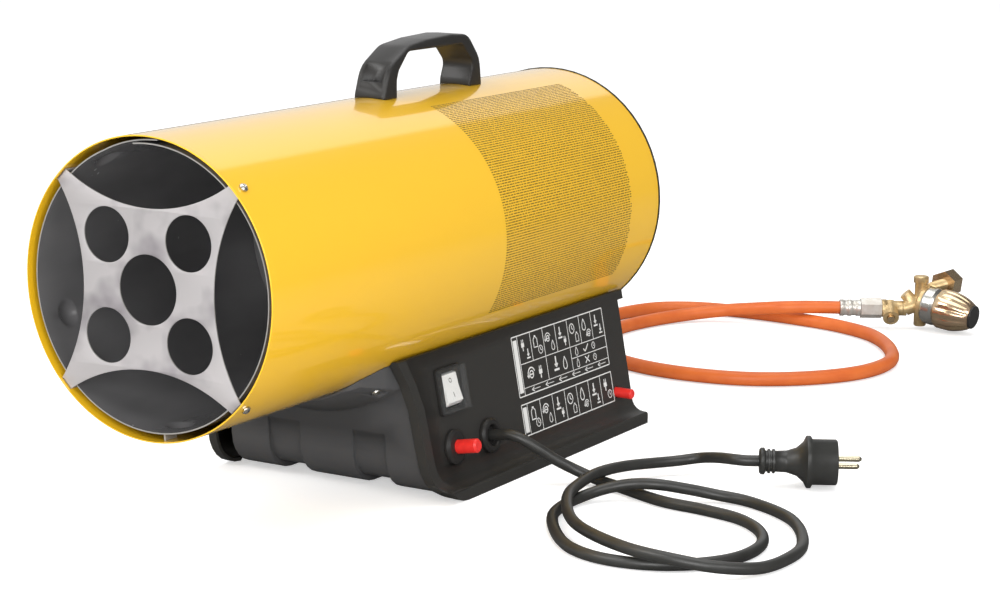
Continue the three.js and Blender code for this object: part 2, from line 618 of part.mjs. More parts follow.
function gasNozzle() {
  const flangeSeat = CUP_REAR + GAP;
  const tip = NOZZLE_REAR - NOZZLE_LENGTH;
  const body = turned("y", [
    [0, tip], [NOZZLE_RADIUS * 0.5, tip], [NOZZLE_RADIUS, tip + 4], [NOZZLE_RADIUS, flangeSeat],
    [NOZZLE_RADIUS + 2, flangeSeat], [NOZZLE_RADIUS + 2, flangeSeat + 3], [NOZZLE_RADIUS, flangeSeat + 3],
    [NOZZLE_RADIUS, NOZZLE_REAR], [0, NOZZLE_REAR],
  ], 24);
  return cut(body, rod("y", 1, tip - 1, tip + 8, 8));
}

// Thermocouple and electrode: a thin rod through the cup's rear wall, held by a round flange.
function probe(x, reach, bodyRadius) {
  const seat = CUP_REAR + GAP;
  return turned("y", [
    [0, seat - reach], [PROBE_RADIUS * 0.7, seat - reach], [PROBE_RADIUS, seat - reach + 4], [PROBE_RADIUS, seat],
    [PROBE_FLANGE_RADIUS, seat], [PROBE_FLANGE_RADIUS, seat + 2], [bodyRadius, seat + 2], [bodyRadius, seat + 14],
    [0, seat + 14],
  ], 16).translate(x, 0, 0);
}

function overheatThermostat() {
  const seat = CHAMBER_REAR + GAP;
  const can = rod("y", THERMOSTAT_RADIUS, seat, seat + THERMOSTAT_LENGTH, 20);
  const lug = box(-THERMOSTAT_RADIUS - 5, THERMOSTAT_RADIUS + 5, seat, seat + 1.2, -4, 4);
  const terminals = [-3, 3].map((x) => box(x - 2, x + 2, seat, seat + THERMOSTAT_LENGTH + 7, -0.4, 0.4));
  return join(can, lug, ...terminals).translate(0, 0, THERMOSTAT_OFFSET);
}

const VALVE_FRONT = VALVE_Y - VALVE_WIDTH / 2;
const PIPE_END_X = (VALVE_INNER_END + VALVE_OUTER_END) / 2 - 4;
const BASE_FLOOR = COVER_WALL + GAP + BODY_WALL;
const VALVE_BOTTOM = BASE_FLOOR + GAP;

function gasPipe() {
  const axis = DRUM_AXIS_HEIGHT;
  const y = PIPE_RISE_Y;
  const along = (share) => y + share * (VALVE_FRONT - y);
  return tube([
    [0, NOZZLE_REAR + GAP, axis], [0, y - 14, axis], [0, y - 4, axis - 4], [0, y, axis - 15],
    [0, y, axis - 50], [0, y, axis - 90], [0, y, axis - 120], [4, along(0.03), VALVE_Z + 22],
    [12, along(0.14), VALVE_Z + 4], [22, along(0.31), VALVE_Z - 4], [PIPE_END_X, along(0.56), VALVE_Z],
    [PIPE_END_X, along(0.87), VALVE_Z], [PIPE_END_X, VALVE_FRONT - GAP, VALVE_Z],
  ], PIPE_RADIUS, 8, 36);
}

// ---------- fan, motor and rear guard ----------

function fanRotor() {
  const hub = turned("y", [
    [SHAFT_RADIUS + GAP, FAN_FRONT], [FAN_HUB_RADIUS - 3, FAN_FRONT], [FAN_HUB_RADIUS, FAN_FRONT + 4],
    [FAN_HUB_RADIUS, FAN_REAR], [SHAFT_RADIUS + GAP, FAN_REAR],
  ], 24);
  const middle = (FAN_FRONT + FAN_REAR) / 2;
  const outline = rounded([
    [FAN_HUB_RADIUS - 4, -12, 0], [FAN_RADIUS * 0.55, -26, 20], [FAN_RADIUS + 8, -31, 14],
    [FAN_RADIUS + 8, 24, 14], [FAN_RADIUS * 0.5, 19, 20], [FAN_HUB_RADIUS - 4, 12, 0],
  ], 30);
  const blades = Array.from({ length: FAN_BLADE_COUNT }, (_, i) => {
    const blade = prism("xz", outline, -FAN_BLADE_THICKNESS / 2, FAN_BLADE_THICKNESS / 2);
    const pitched = blade.rotateX(radians(FAN_BLADE_PITCH)).translate(0, middle, 0);
    return radial(pitched, (360 * i) / FAN_BLADE_COUNT);
  });
  const sweep = rod("y", FAN_RADIUS, FAN_FRONT - 30, FAN_REAR + FAN_MOTOR_SPACE - 2, 48);
  const bore = rod("y", SHAFT_RADIUS + GAP, FAN_FRONT - 1, FAN_REAR + 1, 24);
  return cut(join(hub, common(join(...blades), sweep)), bore);
}

function motorShaft() {
  return turned("y", [
    [0, FAN_FRONT - 2], [SHAFT_RADIUS - 0.5, FAN_FRONT - 2], [SHAFT_RADIUS, FAN_FRONT - 1],
    [SHAFT_RADIUS, FAN_FRONT + SHAFT_LENGTH], [0, FAN_FRONT + SHAFT_LENGTH],
  ], 24);
}

const motorScrewAngles = Array.from({ length: MOTOR_SCREW_COUNT }, (_, i) => 90 + (360 / MOTOR_SCREW_COUNT) * i);

function axialHole(degrees, from, to, radius = SCREW_SHANK_RADIUS + GAP) {
  return radial(rod("y", radius, from, to, 12).translate(MOTOR_SCREW_CIRCLE, 0, 0), degrees);
}

function fanMotor() {
  const boreEnd = FAN_FRONT + SHAFT_LENGTH + 1;
  const body = turned("y", [
    [SHAFT_RADIUS + GAP, MOTOR_FRONT], [12, MOTOR_FRONT], [14, MOTOR_FRONT + 3], [MOTOR_RADIUS - 8, MOTOR_FRONT + 5],
    [MOTOR_RADIUS, MOTOR_FRONT + 12], [MOTOR_RADIUS, MOTOR_REAR - 8], [MOTOR_RADIUS - 6, MOTOR_REAR],
    [0, MOTOR_REAR], [0, boreEnd], [SHAFT_RADIUS + GAP, boreEnd],
  ], 28);
  return cut(body, ...motorScrewAngles.map((angle) => axialHole(angle, MOTOR_REAR - 9, MOTOR_REAR + 1)));
}

// A dish between the motor and the guard, which carries the motor.
function motorBracket() {
  const rear = BRACKET_FRONT + MOTOR_BRACKET_LENGTH;
  const dish = turned("y", [
    [12, BRACKET_FRONT], [MOTOR_BRACKET_RADIUS, BRACKET_FRONT], [MOTOR_BRACKET_RADIUS, rear], [12, rear],
  ], 28);
  return cut(dish, ...motorScrewAngles.map((angle) => axialHole(angle, BRACKET_FRONT - 1, rear + 1)));
}

function motorScrew(degrees) {
  const seat = GUARD_FACE + GUARD_STANDOFF + GAP;
  const screw = turned("y", [
    [0, MOTOR_REAR - 8], [SCREW_SHANK_RADIUS, MOTOR_REAR - 8], [SCREW_SHANK_RADIUS, seat], [SCREW_HEAD_RADIUS, seat],
    [SCREW_HEAD_RADIUS, seat + 1.2], [SCREW_HEAD_RADIUS * 0.55, seat + SCREW_HEAD_HEIGHT], [0, seat + SCREW_HEAD_HEIGHT],
  ], 10);
  return radial(screw.translate(MOTOR_SCREW_CIRCLE, 0, 0), degrees);
}

function rearGuard() {
  const lip = DRUM_INNER - GAP;
  const flange = DRUM_RADIUS + GUARD_OVERHANG;
  const rear = GUARD_FACE + GUARD_STANDOFF;
  const inner = flange - GUARD_RIM_WIDTH;
  const chamfer = GUARD_STANDOFF / 3;
  const rim = turned("y", [
    [lip - GUARD_SHEET, DRUM_REAR - GUARD_LIP], [lip, DRUM_REAR - GUARD_LIP], [lip, GUARD_FACE], [flange, GUARD_FACE],
    [flange, rear - chamfer], [flange - chamfer, rear], [inner, rear], [inner, GUARD_FACE], [lip - GUARD_SHEET, GUARD_FACE],
  ], DRUM_SIDES);
  const ring = (radius) => turned("y", [
    [radius - GUARD_BAR_WIDTH / 2, GUARD_FACE], [radius + GUARD_BAR_WIDTH / 2, GUARD_FACE],
    [radius + GUARD_BAR_WIDTH / 2, rear], [radius - GUARD_BAR_WIDTH / 2, rear],
  ], 20);
  const bar = () => box(GUARD_HUB_RADIUS - 4, inner + 4, GUARD_FACE, rear, -GUARD_BAR_WIDTH / 2, GUARD_BAR_WIDTH / 2);
  const bars = Array.from({ length: GUARD_BAR_COUNT }, (_, i) => radial(bar(), (360 / GUARD_BAR_COUNT) * (i + 0.5)));
  const hub = rod("y", GUARD_HUB_RADIUS, GUARD_FACE, rear, 24);
  return cut(
    join(rim, hub, ...GUARD_RING_RADII.map(ring), ...bars),
    ...motorScrewAngles.map((angle) => axialHole(angle, GUARD_FACE - 1, rear + 1)),
    ...GUARD_SCREW_ANGLES.map((angle) => radialHole(angle, GUARD_SCREW_Y)),
  );
}

// ---------- handle ----------

// An arch with two legs, hollowed at the front and the rear; its feet follow the drum.
function handle() {
  const foot = DRUM_RADIUS - 6;
  const top = HANDLE_TOP;
  const front = HANDLE_FRONT;
  const rear = HANDLE_REAR;
  const windowFront = front + HANDLE_FRONT_LEG;
  const windowRear = rear - HANDLE_REAR_LEG;
  const windowTop = HANDLE_WINDOW_TOP;
  const outline = rounded([
    [front, foot], [rear, foot], [rear, DRUM_RADIUS + 2, 20], [rear - 3, top - 23, 20], [rear - 22, top - 2, 16],
    [rear - 46, top - 0.5, 30], [front + 66, top - 2, 40], [front + 36, top - 5.5, 22], [front + 8, top - 21, 24],
    [front, DRUM_RADIUS + 2, 12], [front, foot],
  ].slice(0, -1));
  const window = rounded([
    [windowFront, foot - 1], [windowFront, DRUM_RADIUS + 14, 8], [windowFront + 3, top - 24, 6],
    [windowFront + 17, windowTop, 8], [windowRear - 12, windowTop, 8], [windowRear + 6, top - 27, 8],
    [windowRear, DRUM_RADIUS + 4, 10], [windowRear, foot - 1],
  ]);
  const half = HANDLE_WIDTH / 2;
  const arch = prism("yz", outline, -half + HANDLE_EDGE, half - HANDLE_EDGE, {
    bevelEnabled: true, bevelThickness: HANDLE_EDGE, bevelSize: HANDLE_EDGE, bevelOffset: -HANDLE_EDGE, bevelSegments: 2,
  });
  const sill = DRUM_RADIUS + HANDLE_RECESS_SILL;
  const deep = HANDLE_RECESS_DEPTH;
  const frontRecess = prism("yz", [
    [front - 9, sill], [front + 2 * deep, sill], [front + 2 * deep + 3, sill + 14], [front + 2 * deep + 10, top],
    [front - 9, top],
  ], -HANDLE_RECESS_WIDTH / 2, HANDLE_RECESS_WIDTH / 2);
  const rearRecess = prism("yz", [
    [rear + 9, sill], [rear - deep, sill], [rear - deep - 2, sill + 7], [rear - deep - 12, sill + 20],
    [rear - 10, top + 2], [rear + 9, top + 2],
  ], -HANDLE_RECESS_WIDTH / 2, HANDLE_RECESS_WIDTH / 2);
  const drum = rod("y", DRUM_RADIUS + GAP, front - 20, rear + 20, DRUM_SIDES);
  const opening = prism("yz", window, -half - 1, half + 1);
  const screwHoles = HANDLE_SCREW_PLACES.map((y) => rod(
    "z", SCREW_SHANK_RADIUS + GAP, DRUM_RADIUS - 4, DRUM_RADIUS + HANDLE_SCREW_DEPTH + 1, 12,
  ).translate(0, y, 0));
  return cut(arch, opening, frontRecess, rearRecess, drum, ...screwHoles);
}

// From inside the drum up into a foot of the handle.
function handleScrew(y) {
  const seat = DRUM_INNER - GAP;
  return turned("z", [
    [0, seat - SCREW_HEAD_HEIGHT], [SCREW_HEAD_RADIUS, seat - SCREW_HEAD_HEIGHT + 1], [SCREW_HEAD_RADIUS, seat - 0.3],
    [SCREW_SHANK_RADIUS, seat - 0.3], [SCREW_SHANK_RADIUS, DRUM_RADIUS + HANDLE_SCREW_DEPTH],
    [0, DRUM_RADIUS + HANDLE_SCREW_DEPTH],
  ], 12).translate(0, y, 0);
}

// ---------- base ----------

// The base seen from the side, moved inwards by inset: leaning front, rounded lower corner, upright rear.
function sideOutline(inset, top) {
  const steps = 3;
  const front = Array.from({ length: steps }, (_, i) => {
    const z = top + (i / steps) * (BASE_FRONT_CURL_START - top);
    const lean = BASE_FRONT_RAKE + 2 * BASE_FRONT_CURL * Math.max(0, z - BASE_FRONT_CURL_START);
    return [frontY(z) + inset * Math.hypot(1, lean), z];
  });
  return rounded([
    ...front, [frontY(inset) + inset, inset, BASE_CORNER_RADIUS - inset],
    [BASE_REAR - inset, inset], [BASE_REAR - inset, top],
  ]);
}

// The left cover's skin in section, moved inwards by inset: a leaning face over an upright foot.
function leftSkin(inset) {
  const top = COVER_TOP_X - inset / Math.cos(LEFT_LEAN);
  const edge = BASE_HALF_WIDTH - inset;
  return [[top, COVER_TOP], [edge, COVER_TOP - (edge - top) / LEFT_SLOPE], [edge, 0]];
}

// The panel's skin in section, moved inwards by inset: leaning face, hollow fillet, ledge and upright rim.
function panelSkin(inset) {
  const sideways = inset / Math.cos(PANEL_LEAN);
  const filletX = PANEL_FOOT_X + COVER_FILLET;
  const radius = COVER_FILLET + inset;
  const points = [[COVER_TOP_X - sideways, COVER_TOP]];
  for (let i = 0; i <= 5; i += 1) {
    const angle = Math.PI + (i / 5) * (Math.PI / 2);
    points.push([filletX + radius * Math.cos(angle), PANEL_FOOT_Z + radius * Math.sin(angle)]);
  }
  const edge = Math.min(BASE_HALF_WIDTH, BASE_HALF_WIDTH - inset);
  points.push([edge - (inset > 0 ? 0.5 : 1.5), COVER_LEDGE_HEIGHT - inset], [edge, COVER_LEDGE_HEIGHT - inset - 1.5], [edge, 0]);
  return points;
}

// The front edge of a cover from its top to the floor, moved inwards by inset.
const frontLine = (inset) => sideOutline(inset, COVER_TOP).slice(0, -2);

const drumCutter = () => rod("y", DRUM_RADIUS + GAP, DRUM_FRONT, DRUM_REAR, DRUM_SIDES).translate(0, 0, DRUM_AXIS_HEIGHT);

// A band of a cover's section between two depths, cut to a strip of the side view.
function coverBand(skin, outerInset, innerInset, strip) {
  const section = [...skin(outerInset), ...skin(innerInset).reverse()];
  const front = Math.min(...strip.map(([y]) => y)) - 1;
  const rear = Math.max(...strip.map(([y]) => y)) + 1;
  return common(prism("xz", section, front, rear), prism("yz", strip, 0, BASE_HALF_WIDTH + 10));
}

// One side of the base, made as a right-hand one: its skin, with inward flanges at both ends.
function sideCover(skin, ...extras) {
  const skinSide = [
    ...sideOutline(0, COVER_TOP).slice(0, -1),
    [BASE_REAR, COVER_TOP - COVER_TAB_HEIGHT], [BASE_REAR + COVER_TAB_LENGTH, COVER_TOP - COVER_TAB_HEIGHT],
    [BASE_REAR + COVER_TAB_LENGTH, COVER_TOP],
  ];
  const floorRun = BASE_CORNER_RADIUS * 0.1;
  const frontStrip = [...frontLine(0), [frontLine(0).at(-1)[0] + floorRun, COVER_WALL], ...frontLine(COVER_WALL).reverse()];
  const rearStrip = [
    [BASE_REAR - COVER_WALL, 0], [BASE_REAR, 0], [BASE_REAR, COVER_TOP - COVER_TAB_HEIGHT],
    [BASE_REAR - COVER_WALL, COVER_TOP - COVER_TAB_HEIGHT],
  ];
  return cut(
    join(
      coverBand(skin, 0, COVER_WALL, skinSide),
      coverBand(skin, COVER_WALL / 2, COVER_FLANGE, frontStrip),
      coverBand(skin, COVER_WALL / 2, COVER_FLANGE, rearStrip),
      ...extras,
    ),
    drumCutter(),
  );
}

// The raised strip along the panel's front edge, down to the ledge.
function panelStrip() {
  const raised = [...frontLine(0), ...frontLine(COVER_STRIP_WIDTH).reverse()]
    .map(([y, z]) => [y, Math.max(z, COVER_LEDGE_HEIGHT)]);
  return coverBand(panelSkin, -COVER_STRIP_RISE, COVER_WALL / 2, raised);
}

function controlPanel(spots) {
  const onPanel = (spot, geometry) => geometry.applyMatrix4(spot.matrix);
  const through = 2 * COVER_FLANGE;
  const halfY = SWITCH_BEZEL_WIDTH / 2 - SWITCH_BODY_MARGIN + GAP;
  const halfZ = SWITCH_BEZEL_HEIGHT / 2 - SWITCH_BODY_MARGIN + GAP;
  return cut(
    sideCover(panelSkin, panelStrip()),
    onPanel(spots.switch, box(-through, through, -halfY, halfY, -halfZ, halfZ)),
    onPanel(spots.igniter, rod("x", IGNITER_BODY_RADIUS + GAP, -through, through, 24)),
    onPanel(spots.gland, rod("x", GLAND_BODY_RADIUS + GAP, -through, through, 24)),
    rod("x", VALVE_BUTTON_RADIUS + 2 * GAP, VALVE_BUTTON_INSIDE, VALVE_BUTTON_END, 20).translate(0, VALVE_Y, VALVE_Z),
  );
}

// A groove in the front and underside of the base: deepest at the lower corner, gone at its top end.
function groove(x0, x1, margin) {
  const inset = COVER_WALL + GAP + GROOVE_DEPTH + margin;
  const top = GROOVE_TOP + margin;
  const face = COVER_WALL + GAP;
  const run = rounded([
    [frontY(top) + face, top, 0], [frontY(inset) + inset, inset, BASE_CORNER_RADIUS - inset],
    [GROOVE_REAR - GROOVE_DEPTH, inset, 0], [GROOVE_REAR + margin, 0, 0],
  ], 12);
  const outside = [[GROOVE_REAR + margin, -20], [frontY(top) - 40, -20], [frontY(top) - 40, top]];
  return prism("yz", [...run, ...outside], x0 - margin, x1 + margin);
}

// The flange that rises from the base's front to the drum: widest at its crease, thin at its tip.
function frontCollar() {
  const seat = DRUM_RADIUS + GAP;
  const ring = turned("y", [
    [seat, COLLAR_TIP], [seat + COLLAR_TIP_THICKNESS, COLLAR_TIP], [seat + COLLAR_WIDTH, COLLAR_CREASE],
    [seat + COLLAR_WIDTH, COLLAR_ROOT], [seat, COLLAR_ROOT],
  ], DRUM_SIDES).translate(0, 0, DRUM_AXIS_HEIGHT);
  const foot = BODY_NOTCH_HEIGHT - 20;
  const beside = (edge, lean) => edge - COVER_FLANGE / Math.cos(lean) - GAP;
  const head = COVER_TOP + COLLAR_WIDTH;
  const right = [[beside(panelX(foot), PANEL_LEAN), foot], [beside(panelX(head), PANEL_LEAN), head]];
  const left = [[-beside(leftX(head), LEFT_LEAN), head], [-beside(leftX(foot), LEFT_LEAN), foot]];
  const shoulder = beside(COVER_TOP_X, PANEL_LEAN);
  const plan = [
    [-shoulder, COLLAR_SHOULDER], [-shoulder + 8, COLLAR_TIP + 6], [-shoulder + 20, COLLAR_TIP],
    [shoulder - 20, COLLAR_TIP], [shoulder - 8, COLLAR_TIP + 6], [shoulder, COLLAR_SHOULDER],
    [shoulder + COLLAR_WIDTH, COLLAR_ROOT], [-shoulder - COLLAR_WIDTH, COLLAR_ROOT],
  ];
  return common(
    ring,
    prism("xz", [...right, ...left], COLLAR_TIP - 5, COLLAR_ROOT + 5),
    prism("xy", plan, 0, DRUM_AXIS_HEIGHT),
  );
}

// The base between its covers: front, floor and rear in one moulding, with a saddle for the drum at each end.
function baseBody() {
  const face = COVER_WALL + GAP;
  const inner = COVER_WALL / Math.cos(PANEL_LEAN) + GAP;
  const leftInner = COVER_WALL / Math.cos(LEFT_LEAN) + GAP;
  const notch = inner + BODY_NOTCH_DEPTH;
  const top = COVER_TOP - 2;
  const step = BODY_NOTCH_HEIGHT;
  const right = [
    [panelX(0) - notch, 0], [panelX(step) - notch, step], [panelX(step) - inner, step], [panelX(top) - inner, top],
  ];
  const left = [
    [leftInner - leftX(top), top], [leftInner - leftX(step), step], [-BODY_LEFT_FOOT, step], [-BODY_LEFT_FOOT, 0],
  ];
  const ends = common(
    prism("xz", [...right, ...left], COLLAR_TIP, BASE_REAR),
    prism("yz", sideOutline(face, top), -BASE_HALF_WIDTH, BASE_HALF_WIDTH),
  );
  const grooves = (margin) => [
    groove(GROOVE_INNER, GROOVE_OUTER, margin),
    groove(-GROOVE_OUTER, -GROOVE_INNER, margin),
  ];
  const hollow = cut(
    prism("yz", sideOutline(face + BODY_WALL, COVER_TOP + 20), -BASE_HALF_WIDTH, BASE_HALF_WIDTH),
    ...grooves(BODY_WALL),
  );
  const seat = DRUM_RADIUS + GAP;
  const rearSaddle = common(
    turned("y", [
      [seat, BASE_REAR - face - SADDLE_REAR_LENGTH], [seat + SADDLE_REAR_THICKNESS, BASE_REAR - face - SADDLE_REAR_LENGTH],
      [seat + SADDLE_REAR_THICKNESS, BASE_REAR - face], [seat, BASE_REAR - face],
    ], DRUM_SIDES).translate(0, 0, DRUM_AXIS_HEIGHT),
    prism("xz", [...right, ...left], BASE_REAR - face - SADDLE_REAR_LENGTH, BASE_REAR - face),
  );
  const screwHoles = SADDLE_SCREWS.map(([angle, y]) => radialHole(angle, y).translate(0, 0, DRUM_AXIS_HEIGHT));
  const screwHead = (angle, y, headSeat) => {
    const pocket = rod("x", SADDLE_SCREW_RADIUS + 2 * GAP, headSeat, DRUM_RADIUS + 40, 20);
    return radial(pocket, angle).translate(0, y, DRUM_AXIS_HEIGHT);
  };
  const headPockets = SADDLE_SCREWS.map(([angle, y]) => screwHead(angle, y, saddleSeat(y) - GAP));
  const inletHole = rod("y", INLET_RADIUS + GAP, BASE_REAR - 20, BASE_REAR + 5, 20).translate(INLET_X, 0, INLET_Z);
  return cut(
    join(cut(ends, hollow), frontCollar(), rearSaddle),
    drumCutter(),
    ...grooves(0),
    ...screwHoles,
    ...headPockets,
    inletHole,
  );
}

// How far from the drum's axis a saddle screw's head sits: on the collar's slope, or on the rear saddle.
function saddleSeat(y) {
  const seat = DRUM_RADIUS + GAP;
  if (y > 0) return seat + SADDLE_REAR_THICKNESS + GAP;
  const along = (y - COLLAR_TIP) / (COLLAR_CREASE - COLLAR_TIP);
  return seat + COLLAR_TIP_THICKNESS + along * (COLLAR_WIDTH - COLLAR_TIP_THICKNESS) - SADDLE_SCREW_RADIUS * 0.4;
}

// ---------- controls ----------

function switchHousing() {
  const halfY = SWITCH_BEZEL_WIDTH / 2;
  const halfZ = SWITCH_BEZEL_HEIGHT / 2;
  const bezel = prism("yz", rounded([
    [-halfY, -halfZ, 3], [halfY, -halfZ, 3], [halfY, halfZ, 3], [-halfY, halfZ, 3],
  ], 30), GAP, SWITCH_BEZEL_THICKNESS);
  const margin = SWITCH_BODY_MARGIN;
  const body = box(-SWITCH_BODY_DEPTH, 1, -halfY + margin, halfY - margin, -halfZ + margin, halfZ - margin);
  const well = box(-ROCKER_PIVOT_DEPTH - ROCKER_RADIUS, SWITCH_BEZEL_THICKNESS + 1,
    -ROCKER_WIDTH / 2 - GAP, ROCKER_WIDTH / 2 + GAP, -ROCKER_RADIUS - GAP, ROCKER_RADIUS + GAP);
  return cut(join(bezel, body), well);
}

// Two faces that meet over the pivot; the ends follow a circle round it, so that it turns in its well.
function rocker() {
  const at = (degrees, radius = ROCKER_RADIUS) => [
    radius * Math.cos(radians(degrees)) - ROCKER_PIVOT_DEPTH,
    radius * Math.sin(radians(degrees)),
  ];
  const tilt = (ROCKER_PRESSED_ANGLE - ROCKER_RAISED_ANGLE) / 2;
  const outline = [
    at(ROCKER_PRESSED_ANGLE), at(78), at(94), at(110), at(180, ROCKER_RADIUS * 0.5), at(-110), at(-94), at(-78),
    at(-61), at(-ROCKER_RAISED_ANGLE), at(tilt, ROCKER_RADIUS * 0.56),
  ];
  return prism("xz", outline, -ROCKER_WIDTH / 2, ROCKER_WIDTH / 2);
}

// A clear flexible cap over the rocker, snapped onto the bezel's face.
function switchCover() {
  const start = SWITCH_BEZEL_THICKNESS + GAP;
  const end = start + SWITCH_COVER_HEIGHT;
  const halfY = SWITCH_BEZEL_WIDTH / 2 - 1;
  const halfZ = SWITCH_BEZEL_HEIGHT / 2 - 1;
  const wall = SWITCH_COVER_WALL;
  return cut(
    box(start, end, -halfY, halfY, -halfZ, halfZ),
    box(start - 1, end - wall, -halfY + wall, halfY - wall, -halfZ + wall, halfZ - wall),
  );
}

function igniterBody() {
  const bore = IGNITER_BUTTON_RADIUS + GAP;
  const boreEnd = -IGNITER_BUTTON_INSIDE - IGNITER_TRAVEL - 1;
  return turned("x", [
    [bore, boreEnd], [bore, BEZEL_THICKNESS], [BEZEL_RADIUS - 3, BEZEL_THICKNESS], [BEZEL_RADIUS, BEZEL_THICKNESS - 2],
    [BEZEL_RADIUS, GAP], [IGNITER_BODY_RADIUS, GAP], [IGNITER_BODY_RADIUS, -IGNITER_BODY_DEPTH],
    [0, -IGNITER_BODY_DEPTH], [0, boreEnd],
  ], 24);
}

function igniterButton() {
  return turned("x", [
    [0, -IGNITER_BUTTON_INSIDE], [IGNITER_BUTTON_RADIUS, -IGNITER_BUTTON_INSIDE],
    [IGNITER_BUTTON_RADIUS, IGNITER_BUTTON_REACH - 1.5], [IGNITER_BUTTON_RADIUS - 1.5, IGNITER_BUTTON_REACH],
    [0, IGNITER_BUTTON_REACH],
  ], 24);
}

// A round flange with a wide mouth that the lead comes out of.
function cordGland() {
  const mouth = LEAD_RADIUS + GLAND_MOUTH;
  return turned("x", [
    [0, -GLAND_INSIDE], [GLAND_BODY_RADIUS, -GLAND_INSIDE], [GLAND_BODY_RADIUS, GAP], [BEZEL_RADIUS, GAP],
    [BEZEL_RADIUS, BEZEL_THICKNESS - 2], [BEZEL_RADIUS - 2, BEZEL_THICKNESS], [mouth + 1, BEZEL_THICKNESS],
    [mouth, BEZEL_THICKNESS - 1], [mouth, GLAND_FLOOR], [0, GLAND_FLOOR],
  ], 24);
}

function gasValveBody() {
  const block = box(VALVE_INNER_END, VALVE_OUTER_END, VALVE_FRONT, VALVE_Y + VALVE_WIDTH / 2,
    VALVE_BOTTOM, VALVE_Z + VALVE_HEIGHT / 2);
  const sleeve = rod("x", VALVE_SLEEVE_RADIUS, VALVE_OUTER_END - 2, VALVE_SLEEVE_END, 24).translate(0, VALVE_Y, VALVE_Z);
  const bore = rod("x", VALVE_BUTTON_RADIUS + GAP, VALVE_BUTTON_INSIDE - VALVE_TRAVEL - 1, VALVE_SLEEVE_END + 1, 24);
  return cut(join(block, sleeve), bore.translate(0, VALVE_Y, VALVE_Z));
}

function gasValveButton() {
  return turned("x", [
    [0, VALVE_BUTTON_INSIDE], [VALVE_BUTTON_RADIUS, VALVE_BUTTON_INSIDE], [VALVE_BUTTON_RADIUS, VALVE_BUTTON_END - 1.2],
    [VALVE_BUTTON_RADIUS - 1.2, VALVE_BUTTON_END], [0, VALVE_BUTTON_END],
  ], 20).translate(0, VALVE_Y, VALVE_Z);
}

const INLET_THREAD_END = BASE_REAR + INLET_HEX_LENGTH + 9;
const INLET_NUT_END = BASE_REAR + INLET_REACH - GAP;

function gasInletFitting() {
  const start = VALVE_Y + VALVE_WIDTH / 2 + GAP;
  const stem = turned("y", [
    [0, start], [INLET_RADIUS, start], [INLET_RADIUS, INLET_THREAD_END], [0, INLET_THREAD_END],
  ], 20);
  const hexagon = rod("y", INLET_HEX_RADIUS, BASE_REAR - COVER_WALL, BASE_REAR - COVER_WALL + INLET_HEX_LENGTH, 6);
  return join(stem, hexagon).translate(INLET_X, 0, INLET_Z);
}

function hoseInletNut() {
  const nut = rod("y", INLET_HEX_RADIUS, INLET_NUT_END - INLET_NUT_LENGTH, INLET_NUT_END, 6);
  const thread = rod("y", INLET_RADIUS + GAP, 0, INLET_THREAD_END + GAP, 20);
  return cut(nut, thread).translate(INLET_X, 0, INLET_Z);
}

function terminalBlock() {
  const [width, length, height] = TERMINAL_SIZE;
  const [x, y] = TERMINAL_PLACE;
  const bottom = BASE_FLOOR + GAP;
  const block = box(x - width / 2, x + width / 2, y - length / 2, y + length / 2, bottom, bottom + height);
  const screws = [-1, 0, 1].map((i) => rod("z", 3, bottom + height - 4, bottom + height + 1, 12)
    .translate(x + (i * width) / 3.2, y, 0));
  return cut(block, ...screws);
}

// ---------- plug ----------

function plugBody() {
  const neck = 8.6;
  const flange = 38;
  return turned("x", [
    [0, 0], [9.5, 0], [11, 1.2], [11, 4], [neck, 5.2], [neck, 6.4], [10, 6.8], [10, 8.6], [neck, 9], [neck, 10.2],
    [10, 10.6], [10, 12.4], [neck, 13], [neck + 0.4, 22], [neck + 3, 30], [PLUG_FLANGE_RADIUS - 5, 35.5],
    [PLUG_FLANGE_RADIUS, flange], [PLUG_FLANGE_RADIUS, flange + 3.5], [PLUG_BODY_RADIUS, flange + 5],
    [PLUG_BODY_RADIUS, PLUG_LENGTH - 1], [PLUG_BODY_RADIUS - 1, PLUG_LENGTH], [0, PLUG_LENGTH],
  ], 24);
}

function plugPin(side) {
  const pin = turned("x", [
    [0, PLUG_LENGTH + GAP], [PIN_RADIUS, PLUG_LENGTH + GAP], [PIN_RADIUS, PLUG_LENGTH + PIN_LENGTH - 2],
    [PIN_RADIUS * 0.5, PLUG_LENGTH + PIN_LENGTH], [0, PLUG_LENGTH + PIN_LENGTH],
  ], 16);
  return pin.translate(0, 0, (side * PIN_SPACING) / 2).rotateX(radians(PIN_LINE_TILT));
}

// ---------- hose end and regulator ----------

const NUT_START = FERRULE_LENGTH + GAP;
const SAFETY_START = NUT_START + HOSE_NUT_LENGTH + GAP;
const BOSS_START = SAFETY_START + SAFETY_VALVE_LENGTH + GAP;
const ARM_LENGTH = BOSS_START + ARM_RUN;
const WHEEL_START = BONNET_END + GAP;
const WHEEL_END = WHEEL_START + WHEEL_LENGTH;

function hoseFerrule() {
  const radius = FERRULE_RADIUS;
  return turned("x", [
    [0, GAP], [radius, GAP], [radius, 4], [radius - 0.8, 5], [radius - 0.8, 8], [radius, 9], [radius, 12],
    [radius - 0.8, 13], [radius - 0.8, 17], [radius, 18], [radius, FERRULE_LENGTH], [4.7, FERRULE_LENGTH],
    [4.7, FERRULE_LENGTH + 14], [0, FERRULE_LENGTH + 14],
  ], 16);
}

function hoseNut() {
  const nut = rod("x", hexRadius(HOSE_NUT_FLATS), NUT_START, NUT_START + HOSE_NUT_LENGTH, 6);
  return cut(nut, rod("x", 5, NUT_START - 1, NUT_START + 17, 16));
}

